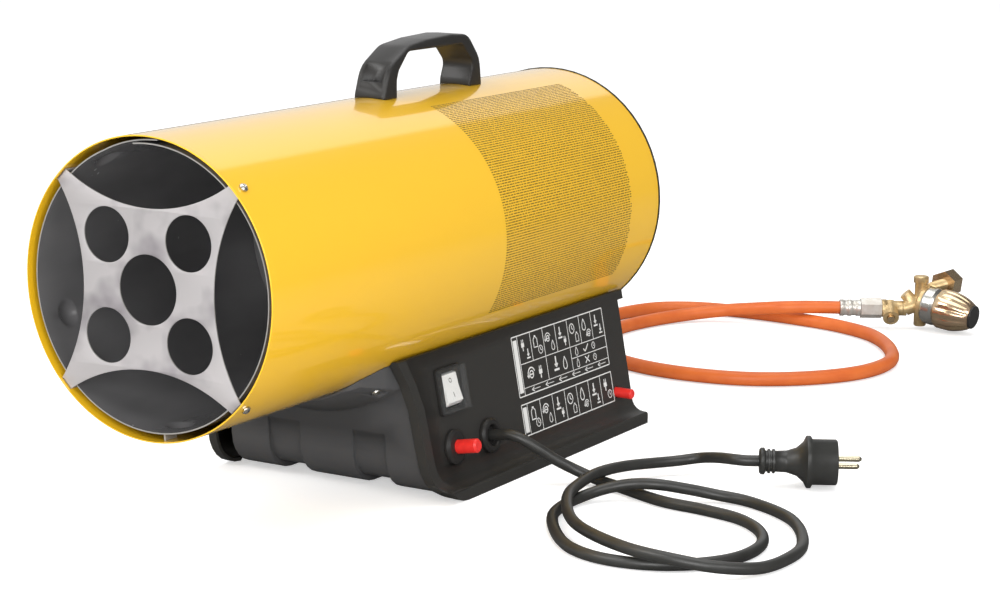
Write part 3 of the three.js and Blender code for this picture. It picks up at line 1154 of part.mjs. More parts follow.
// Where the reset housing crosses the arm, and which way it points, in the arm's own frame.
const RESET_PLACE = SAFETY_START + RESET_SETBACK;
const resetTurn = new THREE.Quaternion().setFromUnitVectors(
  new THREE.Vector3(1, 0, 0),
  new THREE.Vector3(...RESET_DIRECTION).normalize().applyAxisAngle(new THREE.Vector3(0, 0, 1), -radians(ARM_HEADING)),
);
const onReset = (geometry) => geometry.applyQuaternion(resetTurn).translate(RESET_PLACE, 0, 0);

function safetyValve() {
  const end = SAFETY_START + SAFETY_VALVE_LENGTH;
  const barrel = turned("x", [
    [0, SAFETY_START], [SAFETY_VALVE_RADIUS + 1.5, SAFETY_START], [SAFETY_VALVE_RADIUS + 1.5, SAFETY_START + 5],
    [SAFETY_VALVE_RADIUS, SAFETY_START + 6], [SAFETY_VALVE_RADIUS, end], [0, end],
  ], 20);
  const housing = onReset(rod("x", RESET_HOUSING_RADIUS, -4, RESET_HOUSING_LENGTH, 24));
  const bore = onReset(rod("x", RESET_BUTTON_RADIUS + GAP, RESET_HOUSING_LENGTH - 9, RESET_HOUSING_LENGTH + 1, 20));
  return cut(join(barrel, housing), bore);
}

function resetButton() {
  const inside = RESET_HOUSING_LENGTH - 9 + RESET_TRAVEL + 0.5;
  return onReset(rod("x", RESET_BUTTON_RADIUS, inside, RESET_HOUSING_LENGTH + RESET_BUTTON_REACH, 20));
}

// A rod from one point towards another, given in the arm's own frame.
function rodBetween(from, towards, radius, length) {
  const start = new THREE.Vector3(...from);
  const way = new THREE.Vector3(...towards).sub(start).normalize();
  const turn = new THREE.Quaternion().setFromUnitVectors(new THREE.Vector3(1, 0, 0), way);
  return rod("x", radius, 0, length, 20).applyQuaternion(turn).translate(...start.toArray());
}

function regulatorBody(armInRegulator) {
  const column = turned("z", [
    [0, COLUMN_BOTTOM], [COLUMN_RADIUS - 1, COLUMN_BOTTOM], [COLUMN_RADIUS, COLUMN_BOTTOM + 1], [COLUMN_RADIUS, COLUMN_TOP - 8],
    [COLUMN_RADIUS + 1.5, COLUMN_TOP - 7], [COLUMN_RADIUS + 1.5, COLUMN_TOP - 1], [COLUMN_RADIUS, COLUMN_TOP], [0, COLUMN_TOP],
  ], 24).rotateY(-radians(REGULATOR_TIP));
  const disc = BODY_DISC_RADIUS;
  const seat = turned("x", [[0, 0], [disc - 6, 0], [disc, 4], [disc, BONNET_START], [0, BONNET_START]], 28);
  const bend = BOSS_START + 3;
  const socket = rod("x", SAFETY_VALVE_RADIUS, BOSS_START, bend + 1, 20);
  const slope = rodBetween([bend, 0, 0], [ARM_LENGTH, 0, ARM_RISE], SAFETY_VALVE_RADIUS, Math.hypot(ARM_RUN - 3, ARM_RISE));
  const stubRoot = new THREE.Vector3(BOSS_START + ARM_RUN * 0.7, 0, ARM_RISE * 0.7);
  const stubEnd = new THREE.Vector3(...ARM_STUB_DIRECTION)
    .applyAxisAngle(new THREE.Vector3(0, 0, 1), -radians(ARM_HEADING)).add(stubRoot);
  const stub = rodBetween(stubRoot.toArray(), stubEnd.toArray(), ARM_STUB_RADIUS, ARM_STUB_LENGTH);
  const boss = join(socket, slope, stub).applyMatrix4(armInRegulator);
  const collar = CYLINDER_NUT_START + 6;
  const stem = turned("y", [
    [0, 0], [INLET_STEM_RADIUS, 0], [INLET_STEM_RADIUS, collar], [CYLINDER_NUT_BORE - 1, collar],
    [CYLINDER_NUT_BORE - 1, collar + 2], [INLET_STEM_RADIUS, collar + 3], [INLET_STEM_RADIUS - 2, collar + 6],
    [0, collar + 6],
  ], 24).translate(INLET_STEM_X, 0, INLET_STEM_HEIGHT);
  const bonnetRoom = rod("x", BONNET_RADIUS + GAP, BONNET_START, BONNET_END + 1, 28);
  return cut(join(column, seat, boss, stem), bonnetRoom);
}

function regulatorBonnet() {
  const start = BONNET_START + GAP;
  const bore = WHEEL_STEM_RADIUS + GAP;
  return turned("x", [
    [0, start], [BONNET_RADIUS - 1, start], [BONNET_RADIUS, start + 2], [BONNET_RADIUS, BONNET_END - 4],
    [BONNET_RADIUS - 3, BONNET_END], [bore, BONNET_END], [bore, start + 4], [0, start + 4],
  ], 28);
}

// A bell-shaped hand wheel on a stem that turns in the bonnet.
function regulatorKnob() {
  const at = (share) => WHEEL_START + WHEEL_LENGTH * share;
  const between = (share) => WHEEL_END_RADIUS + (WHEEL_RADIUS - WHEEL_END_RADIUS) * share;
  return turned("x", [
    [0, BONNET_START + GAP + 5], [WHEEL_STEM_RADIUS, BONNET_START + GAP + 5], [WHEEL_STEM_RADIUS, WHEEL_START],
    [between(0.75), WHEEL_START], [between(0.95), at(0.05)], [WHEEL_RADIUS, at(0.2)], [between(0.97), at(0.4)],
    [between(0.78), at(0.6)], [between(0.45), at(0.8)], [WHEEL_END_RADIUS, at(0.97)], [WHEEL_END_RADIUS - 1, WHEEL_END],
    [0, WHEEL_END],
  ], 36);
}

function knobCap() {
  const end = WHEEL_END + GAP + WHEEL_CAP_THICKNESS;
  return turned("x", [
    [0, WHEEL_END + GAP], [WHEEL_CAP_RADIUS, WHEEL_END + GAP], [WHEEL_CAP_RADIUS, end - 0.8], [WHEEL_CAP_RADIUS - 0.8, end],
    [0, end],
  ], 28);
}

// The loose nut that screws onto a gas cylinder's valve, kept on the stem by the stem's collar.
function cylinderNut() {
  const start = CYLINDER_NUT_START;
  const end = start + CYLINDER_NUT_LENGTH;
  const nut = rod("y", hexRadius(CYLINDER_NUT_FLATS), start, end, 6);
  const stemHole = rod("y", INLET_STEM_RADIUS + GAP, start - 1, start + 6, 24);
  const thread = rod("y", CYLINDER_NUT_BORE, start + 6 - GAP, end + 1, 24);
  return cut(nut, stemHole, thread).translate(INLET_STEM_X, 0, INLET_STEM_HEIGHT);
}

// ---------- assembly ----------

add(drumLine, "outer_drum", outerDrum(), YELLOW);
add(drumLine, "combustion_chamber", combustionChamber(), DARK_STEEL);
add(drumLine, "flame_plate", flamePlate(), GALVANISED);
PLATE_SCREW_ANGLES.forEach((angle, i) => {
  const screw = radialScrew(angle, PLATE_SCREW_Y, DRUM_RADIUS + GAP, CHAMBER_RADIUS + 1.5);
  add(drumLine, `plate_screw_${i + 1}`, screw, ZINC);
});
add(drumLine, "rear_guard", rearGuard(), BLACK_PLASTIC);
GUARD_SCREW_ANGLES.forEach((angle, i) => {
  const screw = radialScrew(angle, GUARD_SCREW_Y, DRUM_RADIUS + GAP, DRUM_INNER - 4);
  add(drumLine, `guard_screw_${i + 1}`, screw, ZINC);
});
add(drumLine, "motor_bracket", motorBracket(), DARK_STEEL);
motorScrewAngles.forEach((angle, i) => add(drumLine, `motor_screw_${i + 1}`, motorScrew(angle), ZINC));
add(drumLine, "fan_motor", fanMotor(), ALUMINIUM);
add(drumLine, "motor_shaft", motorShaft(), ZINC);
add(drumLine, "fan_rotor", fanRotor(), ALUMINIUM);
add(drumLine, "burner_cup", burnerCup(), DARK_STEEL);
add(drumLine, "gas_nozzle", gasNozzle(), BRASS);
add(drumLine, "thermocouple", probe(PROBE_SPREAD, PROBE_REACH, 2.5), COPPER);
add(drumLine, "ignition_electrode", probe(-PROBE_SPREAD, PROBE_REACH, 4), CERAMIC);
add(drumLine, "overheat_thermostat", overheatThermostat(), ALUMINIUM);
add(heater, "gas_pipe", gasPipe(), COPPER);

add(drumLine, "handle", handle(), BLACK_PLASTIC);
HANDLE_SCREW_PLACES.forEach((y, i) => add(drumLine, `handle_screw_${i + 1}`, handleScrew(y), ZINC));

const spots = {
  switch: panelSpot(SWITCH_Y, onPanelFace(SWITCH_HEIGHT_SHARE)),
  igniter: panelSpot(IGNITER_Y, onPanelFace(IGNITER_HEIGHT_SHARE)),
  gland: panelSpot(GLAND_Y, onPanelFace(GLAND_HEIGHT_SHARE)),
};
add(heater, "base_body", baseBody(), GREY_PLASTIC);
add(heater, "control_panel", controlPanel(spots), BLACK_PLASTIC);
add(heater, "left_cover", geometryOf(solidOf(sideCover(leftSkin).scale(-1, 1, 1))), BLACK_PLASTIC);
SADDLE_SCREWS.forEach(([angle, y], i) => {
  const screw = radialScrew(angle, y, saddleSeat(y), DRUM_INNER - 3, SADDLE_SCREW_RADIUS);
  add(drumLine, `saddle_screw_${i + 1}`, screw, ZINC);
});

add(spots.switch, "switch_housing", switchHousing(), BLACK_PLASTIC);
add(spots.switch, "rocker", rocker(), WHITE);
add(spots.switch, "switch_cover", switchCover(), CLEAR);
add(spots.igniter, "igniter_body", igniterBody(), BLACK_PLASTIC);
add(spots.igniter, "igniter_button", igniterButton(), RED);
add(spots.gland, "cord_gland", cordGland(), BLACK_PLASTIC);
add(heater, "gas_valve_body", gasValveBody(), BRASS);
add(heater, "gas_valve_button", gasValveButton(), RED);
add(heater, "gas_inlet_fitting", gasInletFitting(), BRASS);
add(heater, "hose_inlet_nut", hoseInletNut(), BRASS);
add(heater, "terminal_block", terminalBlock(), WHITE);

const plug = new THREE.Group();
plug.position.set(...LEAD_ROUTE.at(-1));
plug.rotation.z = radians(PLUG_HEADING);
plug.translateX(GAP);
heater.add(plug);
add(heater, "power_cord", tube(LEAD_ROUTE, LEAD_RADIUS, 8, 78), RUBBER);
add(plug, "plug_body", plugBody(), RUBBER);
add(plug, "plug_pin_1", plugPin(1), BRASS);
add(plug, "plug_pin_2", plugPin(-1), BRASS);

// The hose and all that it carries keep to the base's rear.
const hoseLine = new THREE.Group();
hoseLine.position.y = BASE_REAR + INLET_REACH - HOSE_ROUTE[0][1];
heater.add(hoseLine);
const arm = new THREE.Group();
arm.position.set(...HOSE_ROUTE.at(-1));
arm.rotation.z = radians(ARM_HEADING);
arm.updateMatrix();
hoseLine.add(arm);
const regulator = new THREE.Group();
regulator.position.set(ARM_LENGTH, 0, ARM_RISE).applyMatrix4(arm.matrix);
regulator.rotation.set(0, radians(REGULATOR_TIP), radians(REGULATOR_HEADING), "ZYX");
regulator.updateMatrix();
hoseLine.add(regulator);
const armInRegulator = regulator.matrix.clone().invert().multiply(arm.matrix);

add(hoseLine, "gas_hose", tube(HOSE_ROUTE, HOSE_RADIUS, 8, 56), ORANGE);
add(arm, "hose_ferrule", hoseFerrule(), ZINC);
add(arm, "hose_nut", hoseNut(), ZINC);
add(arm, "safety_valve_body", safetyValve(), BRASS);
add(arm, "reset_button", resetButton(), RED);
add(regulator, "regulator_body", regulatorBody(armInRegulator), BRASS);
add(regulator, "regulator_bonnet", regulatorBonnet(), ZINC);
add(regulator, "regulator_knob", regulatorKnob(), BRASS);
add(regulator, "knob_cap", knobCap(), BLACK_PLASTIC);
add(regulator, "cylinder_nut", cylinderNut(), BRASS);

// The heater stands with the middle of its box over the origin; the lead and the hose don't count.
heater.updateMatrixWorld(true);
const loose = new Set([
  "power_cord", "plug_body", "plug_pin_1", "plug_pin_2", "gas_hose", "hose_ferrule", "hose_nut", "safety_valve_body",
  "reset_button", "regulator_body", "regulator_bonnet", "regulator_knob", "knob_cap", "cylinder_nut",
]);
const extent = new THREE.Box3();
heater.traverse((piece) => {
  if (piece.isMesh && !loose.has(piece.name)) extent.expandByObject(piece, true);
});
const middle = extent.getCenter(new THREE.Vector3());
heater.position.set(-middle.x, -middle.y, 0);

export default heater;
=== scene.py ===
import json
import math
import random

import bmesh
import bpy
from mathutils import Matrix, Vector


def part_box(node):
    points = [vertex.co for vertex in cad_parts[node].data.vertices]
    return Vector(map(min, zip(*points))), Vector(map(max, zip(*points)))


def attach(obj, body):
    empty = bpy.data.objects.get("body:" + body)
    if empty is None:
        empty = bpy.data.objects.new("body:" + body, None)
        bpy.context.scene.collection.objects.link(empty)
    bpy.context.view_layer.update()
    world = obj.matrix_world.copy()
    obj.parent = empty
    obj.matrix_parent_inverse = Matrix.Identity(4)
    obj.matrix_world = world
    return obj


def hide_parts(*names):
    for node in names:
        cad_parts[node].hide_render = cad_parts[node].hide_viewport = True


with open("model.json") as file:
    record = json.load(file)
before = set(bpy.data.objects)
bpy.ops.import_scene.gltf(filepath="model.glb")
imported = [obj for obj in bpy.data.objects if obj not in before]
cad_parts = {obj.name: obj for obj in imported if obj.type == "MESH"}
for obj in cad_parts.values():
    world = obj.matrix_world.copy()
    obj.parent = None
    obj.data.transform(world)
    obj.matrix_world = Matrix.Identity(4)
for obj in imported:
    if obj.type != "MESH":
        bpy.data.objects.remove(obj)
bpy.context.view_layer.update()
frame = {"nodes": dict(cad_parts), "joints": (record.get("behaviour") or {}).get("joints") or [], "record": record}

MM = 0.001
NODES = frame["nodes"]
BODIES = frame["record"]["behaviour"]["bodies"]
BODY_OF = {node: body for body, nodes in BODIES.items() for node in nodes}

# ---------- driving sizes ----------

# Millimetres; x = 0 and y = 0 in the middle of the drum, z = 0 on the floor.

DRUM_LOW, DRUM_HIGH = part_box("outer_drum")
DRUM_MIDDLE = (DRUM_LOW + DRUM_HIGH) / 2
AXIS_HEIGHT = DRUM_MIDDLE.z / MM
DRUM_RADIUS = (DRUM_HIGH.z - DRUM_LOW.z) / 2 / MM
DRUM_HALF = (DRUM_HIGH.y - DRUM_LOW.y) / 2 / MM
DRUM_SHEET = 1.0

CHAMBER_RADIUS = 106.5
CHAMBER_SHEET = 1.0
CHAMBER_FRONT = -DRUM_HALF + 4
CHAMBER_REAR = CHAMBER_FRONT + 267
SEAM_ANGLE = 97
SEAM_LAP = 12
SEAM_RISE = 3.5
DIMPLE_ANGLES = [123.5 + 74.6 * i for i in range(5)]
DIMPLE_RADIUS = 11
DIMPLE_DEPTH = 4.4
DIMPLE_Y = -DRUM_HALF + 31

PLATE_THICKNESS = 1.2
PLATE_FRONT = -DRUM_HALF + 2
PLATE_REACH = 110.96
PLATE_WAIST = 59.5
PLATE_TIP_WIDTH = 11
PLATE_TAB_LENGTH = 20
PLATE_SIDE = 0.2
PLATE_MIDDLE_HOLE = 26
PLATE_ARM_HOLE = 20.65
PLATE_ARM_HOLE_PLACE = 37.3
TAB_HOLE_RADIUS = 2.1
TAB_HOLE_PLACE = 9

PANEL_TOP = (82.5, 117)
PANEL_SLOPE = 0.19
PANEL_LEAN = math.atan(PANEL_SLOPE)

# The block of dashes on the drum: from and to an angle round it, and from and to a place along it.
PRINT_TOP = 69.0
PRINT_BOTTOM = -32.5
PRINT_START = 27.0
PRINT_END = 240
PRINT_PITCH = 2.15
PRINT_LINE = 0.95

# The regulator's wheel, from the middle of its cap.
WHEEL_FOOT = -49.3
WHEEL_START = -39.4
WHEEL_END = -1.45
WHEEL_STEM_RADIUS = 4.4
WHEEL_LOBES = 12
WHEEL_LOBE_DEPTH = 0.055

# The rocker's faces run from a crease to its two edges, round its pivot.
ROCKER_RADIUS = 14.2
ROCKER_CREASE_ANGLE = 9
ROCKER_CREASE_SHARE = 0.56
ROCKER_EDGE_ANGLES = {"rocker_off_mark": 62, "rocker_on_mark": -44}

# The photograph's camera.
CAMERA_PLACE = (1126.6, -1676.9, 537.5)
CAMERA_AZIMUTH = 30.909
CAMERA_ELEVATION = 11.007
CAMERA_ROLL = 0.481
CAMERA_LENS = 90.1
SENSOR_WIDTH = 36

LEAD_DIAMETER = 0.0092
HOSE_DIAMETER = 0.014

# The mains lead, from the gland to the plug, in metres.
LEAD_ROUTE = [
    (0.0986, 0.0255, 0.03747), (0.109, 0.0255, 0.03945), (0.1168, 0.0256, 0.0406), (0.127, 0.028, 0.038),
    (0.139, 0.0345, 0.03),
    (0.152, 0.0435, 0.0198), (0.166, 0.052, 0.0115), (0.184, 0.055, 0.0056), (0.204, 0.049, 0.0048),
    (0.257, 0.028, 0.0048), (0.294, 0.024, 0.0048), (0.3305, 0.015, 0.0048), (0.3585, -0.008, 0.0048),
    (0.3745, -0.041, 0.0048), (0.373, -0.078, 0.0048), (0.354, -0.109, 0.0048), (0.3235, -0.1285, 0.0048),
    (0.287, -0.1325, 0.0048), (0.253, -0.118, 0.0048), (0.206, -0.058, 0.0048), (0.197, -0.027, 0.0048),
    (0.198, -0.002, 0.0058), (0.209, 0.019, 0.0098), (0.227, 0.031, 0.0138), (0.246, 0.038, 0.0148),
    (0.266, 0.05, 0.0114), (0.288, 0.062, 0.0068), (0.314, 0.0645, 0.0049), (0.364, 0.036, 0.0048),
    (0.401, -0.025, 0.0048), (0.4055, -0.06, 0.0048), (0.399, -0.095, 0.0056), (0.3785, -0.122, 0.0098),
    (0.346, -0.1345, 0.0142), (0.3075, -0.1295, 0.015), (0.2445, -0.091, 0.0142), (0.204, -0.0305, 0.015),
    (0.1945, 0.005, 0.0154), (0.191, 0.042, 0.0154), (0.196, 0.08, 0.0134), (0.221, 0.122, 0.012),
    (0.239, 0.132, 0.015), (0.259, 0.1245, 0.0195), (0.276, 0.1195, 0.0215), (0.2845, 0.121, 0.0215),
    (0.294, 0.126, 0.0215),
]

# The gas hose, from the inlet at the rear to the crimped ferrule, in metres.
HOSE_ROUTE = [
    (0.03, 0.292, 0.04), (0.03, 0.303, 0.0397), (0.028, 0.32, 0.0355), (0.02, 0.345, 0.025),
    (0.0, 0.38, 0.012), (-0.032, 0.415, 0.0075), (-0.068, 0.455, 0.0073), (-0.098, 0.5, 0.0073),
    (-0.118, 0.552, 0.0073), (-0.127, 0.61, 0.0073), (-0.124, 0.665, 0.0073), (-0.106, 0.713, 0.0073),
    (-0.074, 0.737, 0.0073), (-0.038, 0.746, 0.0073), (0.0, 0.748, 0.0073), (0.05, 0.744, 0.0073),
    (0.1, 0.734, 0.0073), (0.15, 0.707, 0.0073), (0.194, 0.65, 0.0073), (0.215, 0.595, 0.0073),
    (0.21, 0.54, 0.0073), (0.18, 0.49, 0.0073), (0.134, 0.454, 0.0073), (0.08, 0.44, 0.0073),
    (0.026, 0.443, 0.0073), (-0.022, 0.462, 0.0073), (-0.06, 0.498, 0.0073), (-0.082, 0.548, 0.0073),
    (-0.088, 0.6, 0.0073), (-0.078, 0.655, 0.0073), (-0.056, 0.697, 0.0088), (-0.026, 0.718, 0.0128),
    (0.008, 0.725, 0.0173), (0.035, 0.729, 0.0208), (0.058, 0.739, 0.0222), (0.075, 0.7492, 0.0222),
    (0.091, 0.7584, 0.022),
]


def machine(x, y, z):
    """A point given in millimetres from the middle of the drum and the floor, in the row frame."""
    return Vector((DRUM_MIDDLE.x + x * MM, DRUM_MIDDLE.y + y * MM, z * MM))


def round_drum(radius, degrees, y):
    """A point at a radius and an angle from +X towards +Z round the drum's axis."""
    a = math.radians(degrees)
    return machine(radius * math.cos(a), y, AXIS_HEIGHT + radius * math.sin(a))


def on_panel(y, z, out=0.0):
    """A point on the control panel's leaning face, or that far out of it."""
    x = PANEL_TOP[0] + PANEL_SLOPE * (PANEL_TOP[1] - z)
    return machine(x + out * math.cos(PANEL_LEAN), y, z + out * math.sin(PANEL_LEAN))


# ---------- camera ----------


def make_camera():
    azimuth = math.radians(CAMERA_AZIMUTH)
    elevation = math.radians(CAMERA_ELEVATION)
    roll = math.radians(CAMERA_ROLL)
    right = Vector((math.cos(azimuth), math.sin(azimuth), 0))
    back = Vector((
        math.sin(azimuth) * math.cos(elevation),
        -math.cos(azimuth) * math.cos(elevation),
        math.sin(elevation),
    ))
    up = back.cross(right)
    rolled_right = math.cos(roll) * right + math.sin(roll) * up
    rolled_up = math.cos(roll) * up - math.sin(roll) * right
    camera = bpy.data.objects.new("camera", bpy.data.cameras.new("camera"))
    bpy.context.scene.collection.objects.link(camera)
    camera.data.lens = CAMERA_LENS
    camera.data.sensor_width = SENSOR_WIDTH
    camera.data.clip_end = 50
    turn = Matrix((rolled_right, rolled_up, back)).transposed().to_4x4()
    camera.matrix_world = Matrix.Translation(machine(*CAMERA_PLACE)) @ turn
    bpy.context.scene.camera = camera


# ---------- materials ----------


def srgb(r, g, b):
    """A colour as it looks on screen, 0 to 255, as the linear values that a shader takes."""
    def linear(c):
        c /= 255
        return c / 12.92 if c <= 0.04045 else ((c + 0.055) / 1.055) ** 2.4
    return (linear(r), linear(g), linear(b), 1)


class Shader:
    """A Principled material with helpers that add procedural detail to it."""

    def __init__(self, name, color, roughness, metallic=0.0, coat=0.0, shine=0.5):
        self.material = bpy.data.materials.new(name)
        self.material.use_nodes = True
        self.material.diffuse_color = color
        self.tree = self.material.node_tree
        self.principled = self.tree.nodes["Principled BSDF"]
        self.color = color
        self.set("Base Color", color)
        self.set("Roughness", roughness)
        self.set("Metallic", metallic)
        self.set("Coat Weight", coat)
        self.set("Coat Roughness", 0.04)
        self.set("Coat IOR", 1.8)
        self.set("Specular IOR Level", shine)
        self.roughness = roughness
        self.normal = None

    def set(self, socket, value):
        self.principled.inputs[socket].default_value = value

    def node(self, kind, **settings):
        node = self.tree.nodes.new(kind)
        for name, value in settings.items():
            if name in node.inputs:
                node.inputs[name].default_value = value
            else:
                setattr(node, name, value)
        return node

    def link(self, source, target):
        self.tree.links.new(source, target)

    def place(self, stretch=(1, 1, 1)):
        """Object coordinates, stretched along each axis."""
        where = self.node("ShaderNodeTexCoord")
        mapping = self.node("ShaderNodeMapping")
        mapping.inputs["Scale"].default_value = stretch
        self.link(where.outputs["Object"], mapping.inputs["Vector"])
        return mapping.outputs["Vector"]

    def noise(self, scale, detail=3.0, stretch=(1, 1, 1)):
        noise = self.node("ShaderNodeTexNoise", Scale=scale, Detail=detail)
        self.link(self.place(stretch), noise.inputs["Vector"])
        return noise.outputs["Fac"]

    def vary_color(self, other, scale, stretch=(1, 1, 1), low=0.35, high=0.65):
        ramp = self.node("ShaderNodeValToRGB")
        ramp.color_ramp.elements[0].position = low
        ramp.color_ramp.elements[1].position = high
        ramp.color_ramp.elements[0].color = self.color
        ramp.color_ramp.elements[1].color = other
        self.link(self.noise(scale, stretch=stretch), ramp.inputs["Fac"])
        self.link(ramp.outputs["Color"], self.principled.inputs["Base Color"])
        return self

    def vary_roughness(self, amount, scale, stretch=(1, 1, 1)):
        spread = self.node("ShaderNodeMapRange")
        spread.inputs["To Min"].default_value = self.roughness - amount
        spread.inputs["To Max"].default_value = self.roughness + amount
        self.link(self.noise(scale, stretch=stretch), spread.inputs["Value"])
        self.link(spread.outputs["Result"], self.principled.inputs["Roughness"])
        return self

    def soft_edges(self, radius):
        """Rounds the edges of flat-sided pieces in the shading."""
        bevel = self.node("ShaderNodeBevel", samples=4)
        bevel.inputs["Radius"].default_value = radius
        self.normal = bevel.outputs["Normal"]
        self.link(self.normal, self.principled.inputs["Normal"])
        return self

    def grain(self, scale, height, detail=2.0, stretch=(1, 1, 1)):
        bump = self.node("ShaderNodeBump", Strength=1.0, Distance=height)
        self.link(self.noise(scale, detail, stretch), bump.inputs["Height"])
        if self.normal:
            self.link(self.normal, bump.inputs["Normal"])
        self.normal = bump.outputs["Normal"]
        self.link(self.normal, self.principled.inputs["Normal"])
        return self


def make_materials():
    made = {}

    def keep(name, shader):
        made[name] = shader.material
        return shader

    paint = keep("yellow_enamel", Shader("yellow_enamel", srgb(236, 184, 28), 0.3, coat=1.0, shine=0.5))
    paint.vary_color(srgb(238, 186, 34), 9, (1, 0.3, 1)).grain(900, 0.00001)
    ink = keep("black_ink", Shader("black_ink", srgb(60, 56, 30), 0.5, shine=0.3))
    ink.vary_roughness(0.05, 400)
    drum_ink = keep("olive_ink", Shader("olive_ink", srgb(98, 82, 24), 0.45, shine=0.3))
    drum_ink.vary_color(srgb(116, 96, 28), 60)
    liner = keep("dark_liner", Shader("dark_liner", srgb(116, 115, 116), 0.24, 0.2))
    liner.vary_color(srgb(100, 99, 100), 14, (1, 0.4, 1)).vary_roughness(0.07, 60)
    edge = keep("cut_edge", Shader("cut_edge", srgb(170, 168, 164), 0.4, 0.5))
    edge.vary_roughness(0.08, 200)
    sheet = keep("galvanised", Shader("galvanised", srgb(184, 180, 180), 0.45, 0.4))
    sheet.vary_color(srgb(140, 135, 138), 20, low=0.46, high=0.62).vary_roughness(0.1, 45)
    zinc = keep("bright_zinc", Shader("bright_zinc", srgb(200, 198, 192), 0.24, 0.95))
    zinc.vary_roughness(0.07, 300).soft_edges(0.0004)
    nut = keep("dull_zinc", Shader("dull_zinc", srgb(212, 209, 203), 0.36, 0.6))
    nut.vary_color(srgb(196, 190, 180), 150).soft_edges(0.0004)
    cover = keep("cover_plastic", Shader("cover_plastic", srgb(50, 49, 47), 0.45, shine=0.22))
    cover.vary_roughness(0.04, 60).soft_edges(0.0008).grain(2600, 0.00004)
    front = keep("base_plastic", Shader("base_plastic", srgb(70, 70, 71), 0.45, shine=0.3))
    front.vary_roughness(0.04, 60).soft_edges(0.0022).grain(2600, 0.00004)
    black = keep("black_plastic", Shader("black_plastic", srgb(38, 37, 36), 0.38, shine=0.3))
    black.vary_roughness(0.05, 70).soft_edges(0.001).grain(2200, 0.00004)
    grip = keep("grip_plastic", Shader("grip_plastic", srgb(40, 39, 38), 0.34, shine=0.4))
    grip.vary_roughness(0.05, 70).soft_edges(0.003).grain(2200, 0.00004)
    red = keep("red_plastic", Shader("red_plastic", srgb(226, 48, 42), 0.35))
    red.vary_color(srgb(214, 42, 38), 200).soft_edges(0.0005)
    white = keep("white_plastic", Shader("white_plastic", srgb(236, 236, 234), 0.3))
    white.vary_roughness(0.05, 300).soft_edges(0.0004)
    print_white = keep("white_print", Shader("white_print", srgb(216, 216, 214), 0.5))
    print_white.vary_roughness(0.05, 300)
    brass = keep("cast_brass", Shader("cast_brass", srgb(212, 186, 140), 0.4, 0.75))
    brass.vary_color(srgb(196, 168, 120), 120).vary_roughness(0.08, 200)
    brass.soft_edges(0.0009).grain(700, 0.00012)
    wheel = keep("plated_wheel", Shader("plated_wheel", srgb(214, 182, 150), 0.22, 0.95))
    wheel.vary_color(srgb(222, 198, 160), 60).vary_roughness(0.06, 200)
    copper = keep("copper", Shader("copper", srgb(184, 116, 82), 0.3, 0.95))
    copper.vary_color(srgb(160, 96, 66), 80)
    ceramic = keep("ceramic", Shader("ceramic", srgb(228, 222, 208), 0.3))
    ceramic.vary_roughness(0.05, 200)
    aluminium = keep("aluminium", Shader("aluminium", srgb(190, 192, 194), 0.36, 0.9))
    aluminium.vary_roughness(0.08, 200).soft_edges(0.0006).grain(1200, 0.00006)
    rubber = keep("lead_rubber", Shader("lead_rubber", srgb(46, 46, 44), 0.4, shine=0.5))
    rubber.vary_color(srgb(40, 40, 38), 60).grain(1800, 0.00005)
    hose = keep("hose_rubber", Shader("hose_rubber", srgb(208, 106, 46), 0.42, shine=0.35))
    hose.vary_color(srgb(200, 96, 40), 40).grain(1500, 0.00005)
    pin = keep("pin_metal", Shader("pin_metal", srgb(206, 196, 170), 0.22, 1.0))
    pin.vary_roughness(0.05, 300)
    clear = keep("clear_cap", Shader("clear_cap", srgb(120, 122, 122), 0.1))
    clear.set("Alpha", 0.07)
    clear.vary_roughness(0.05, 100)
    return made


# ---------- mesh helpers ----------


def finish_piece(obj, node=None, body=None, replaces=()):
    """Rides the piece on its body and hides the CAD parts that it replaces."""
    if obj.name not in bpy.context.scene.collection.objects:
        bpy.context.scene.collection.objects.link(obj)
    named = [node] if node else list(replaces)
    if named:
        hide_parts(*named)
    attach(obj, body or BODY_OF[named[0]])
    return obj


def smooth(mesh, degrees=32):
    mesh.shade_smooth()
    mesh.set_sharp_from_angle(angle=math.radians(degrees))


def mesh_object(name, points, faces, material, degrees=32):
    mesh = bpy.data.meshes.new(name)
    mesh.from_pydata([tuple(p) for p in points], [], faces)
    bm = bmesh.new()
    bm.from_mesh(mesh)
    bmesh.ops.remove_doubles(bm, verts=bm.verts, dist=1e-7)
    bmesh.ops.recalc_face_normals(bm, faces=bm.faces)
    bm.to_mesh(mesh)
    bm.free()
    mesh.materials.append(MATERIALS[material])
    smooth(mesh, degrees)
    return bpy.data.objects.new(name, mesh)


def applied(obj):
    """The object with its modifiers made real."""
    bpy.context.view_layer.update()
    evaluated = obj.evaluated_get(bpy.context.evaluated_depsgraph_get())
    mesh = bpy.data.meshes.new_from_object(evaluated, depsgraph=bpy.context.evaluated_depsgraph_get())
    obj.modifiers.clear()
    if obj.type == "MESH":
        obj.data = mesh
        return obj
    name, place = obj.name, obj.matrix_world.copy()
    bpy.data.objects.remove(obj)
    real = bpy.data.objects.new(name, mesh)
    real.matrix_world = place
    return real


def dress(node, material, degrees=32, name=None):
    """A copy of a CAD solid with its flat faces whole and its round faces smooth."""
    mesh = NODES[node].data.copy()
    bm = bmesh.new()
    bm.from_mesh(mesh)
    bmesh.ops.remove_doubles(bm, verts=bm.verts, dist=2e-6)
    bmesh.ops.dissolve_limit(bm, angle_limit=math.radians(0.5), verts=bm.verts, edges=bm.edges)
    bm.to_mesh(mesh)
    bm.free()
    mesh.materials.clear()
    mesh.materials.append(MATERIALS[material])
    smooth(mesh, degrees)
    obj = bpy.data.objects.new(name or f"{node}_look", mesh)
    return finish_piece(obj, node)


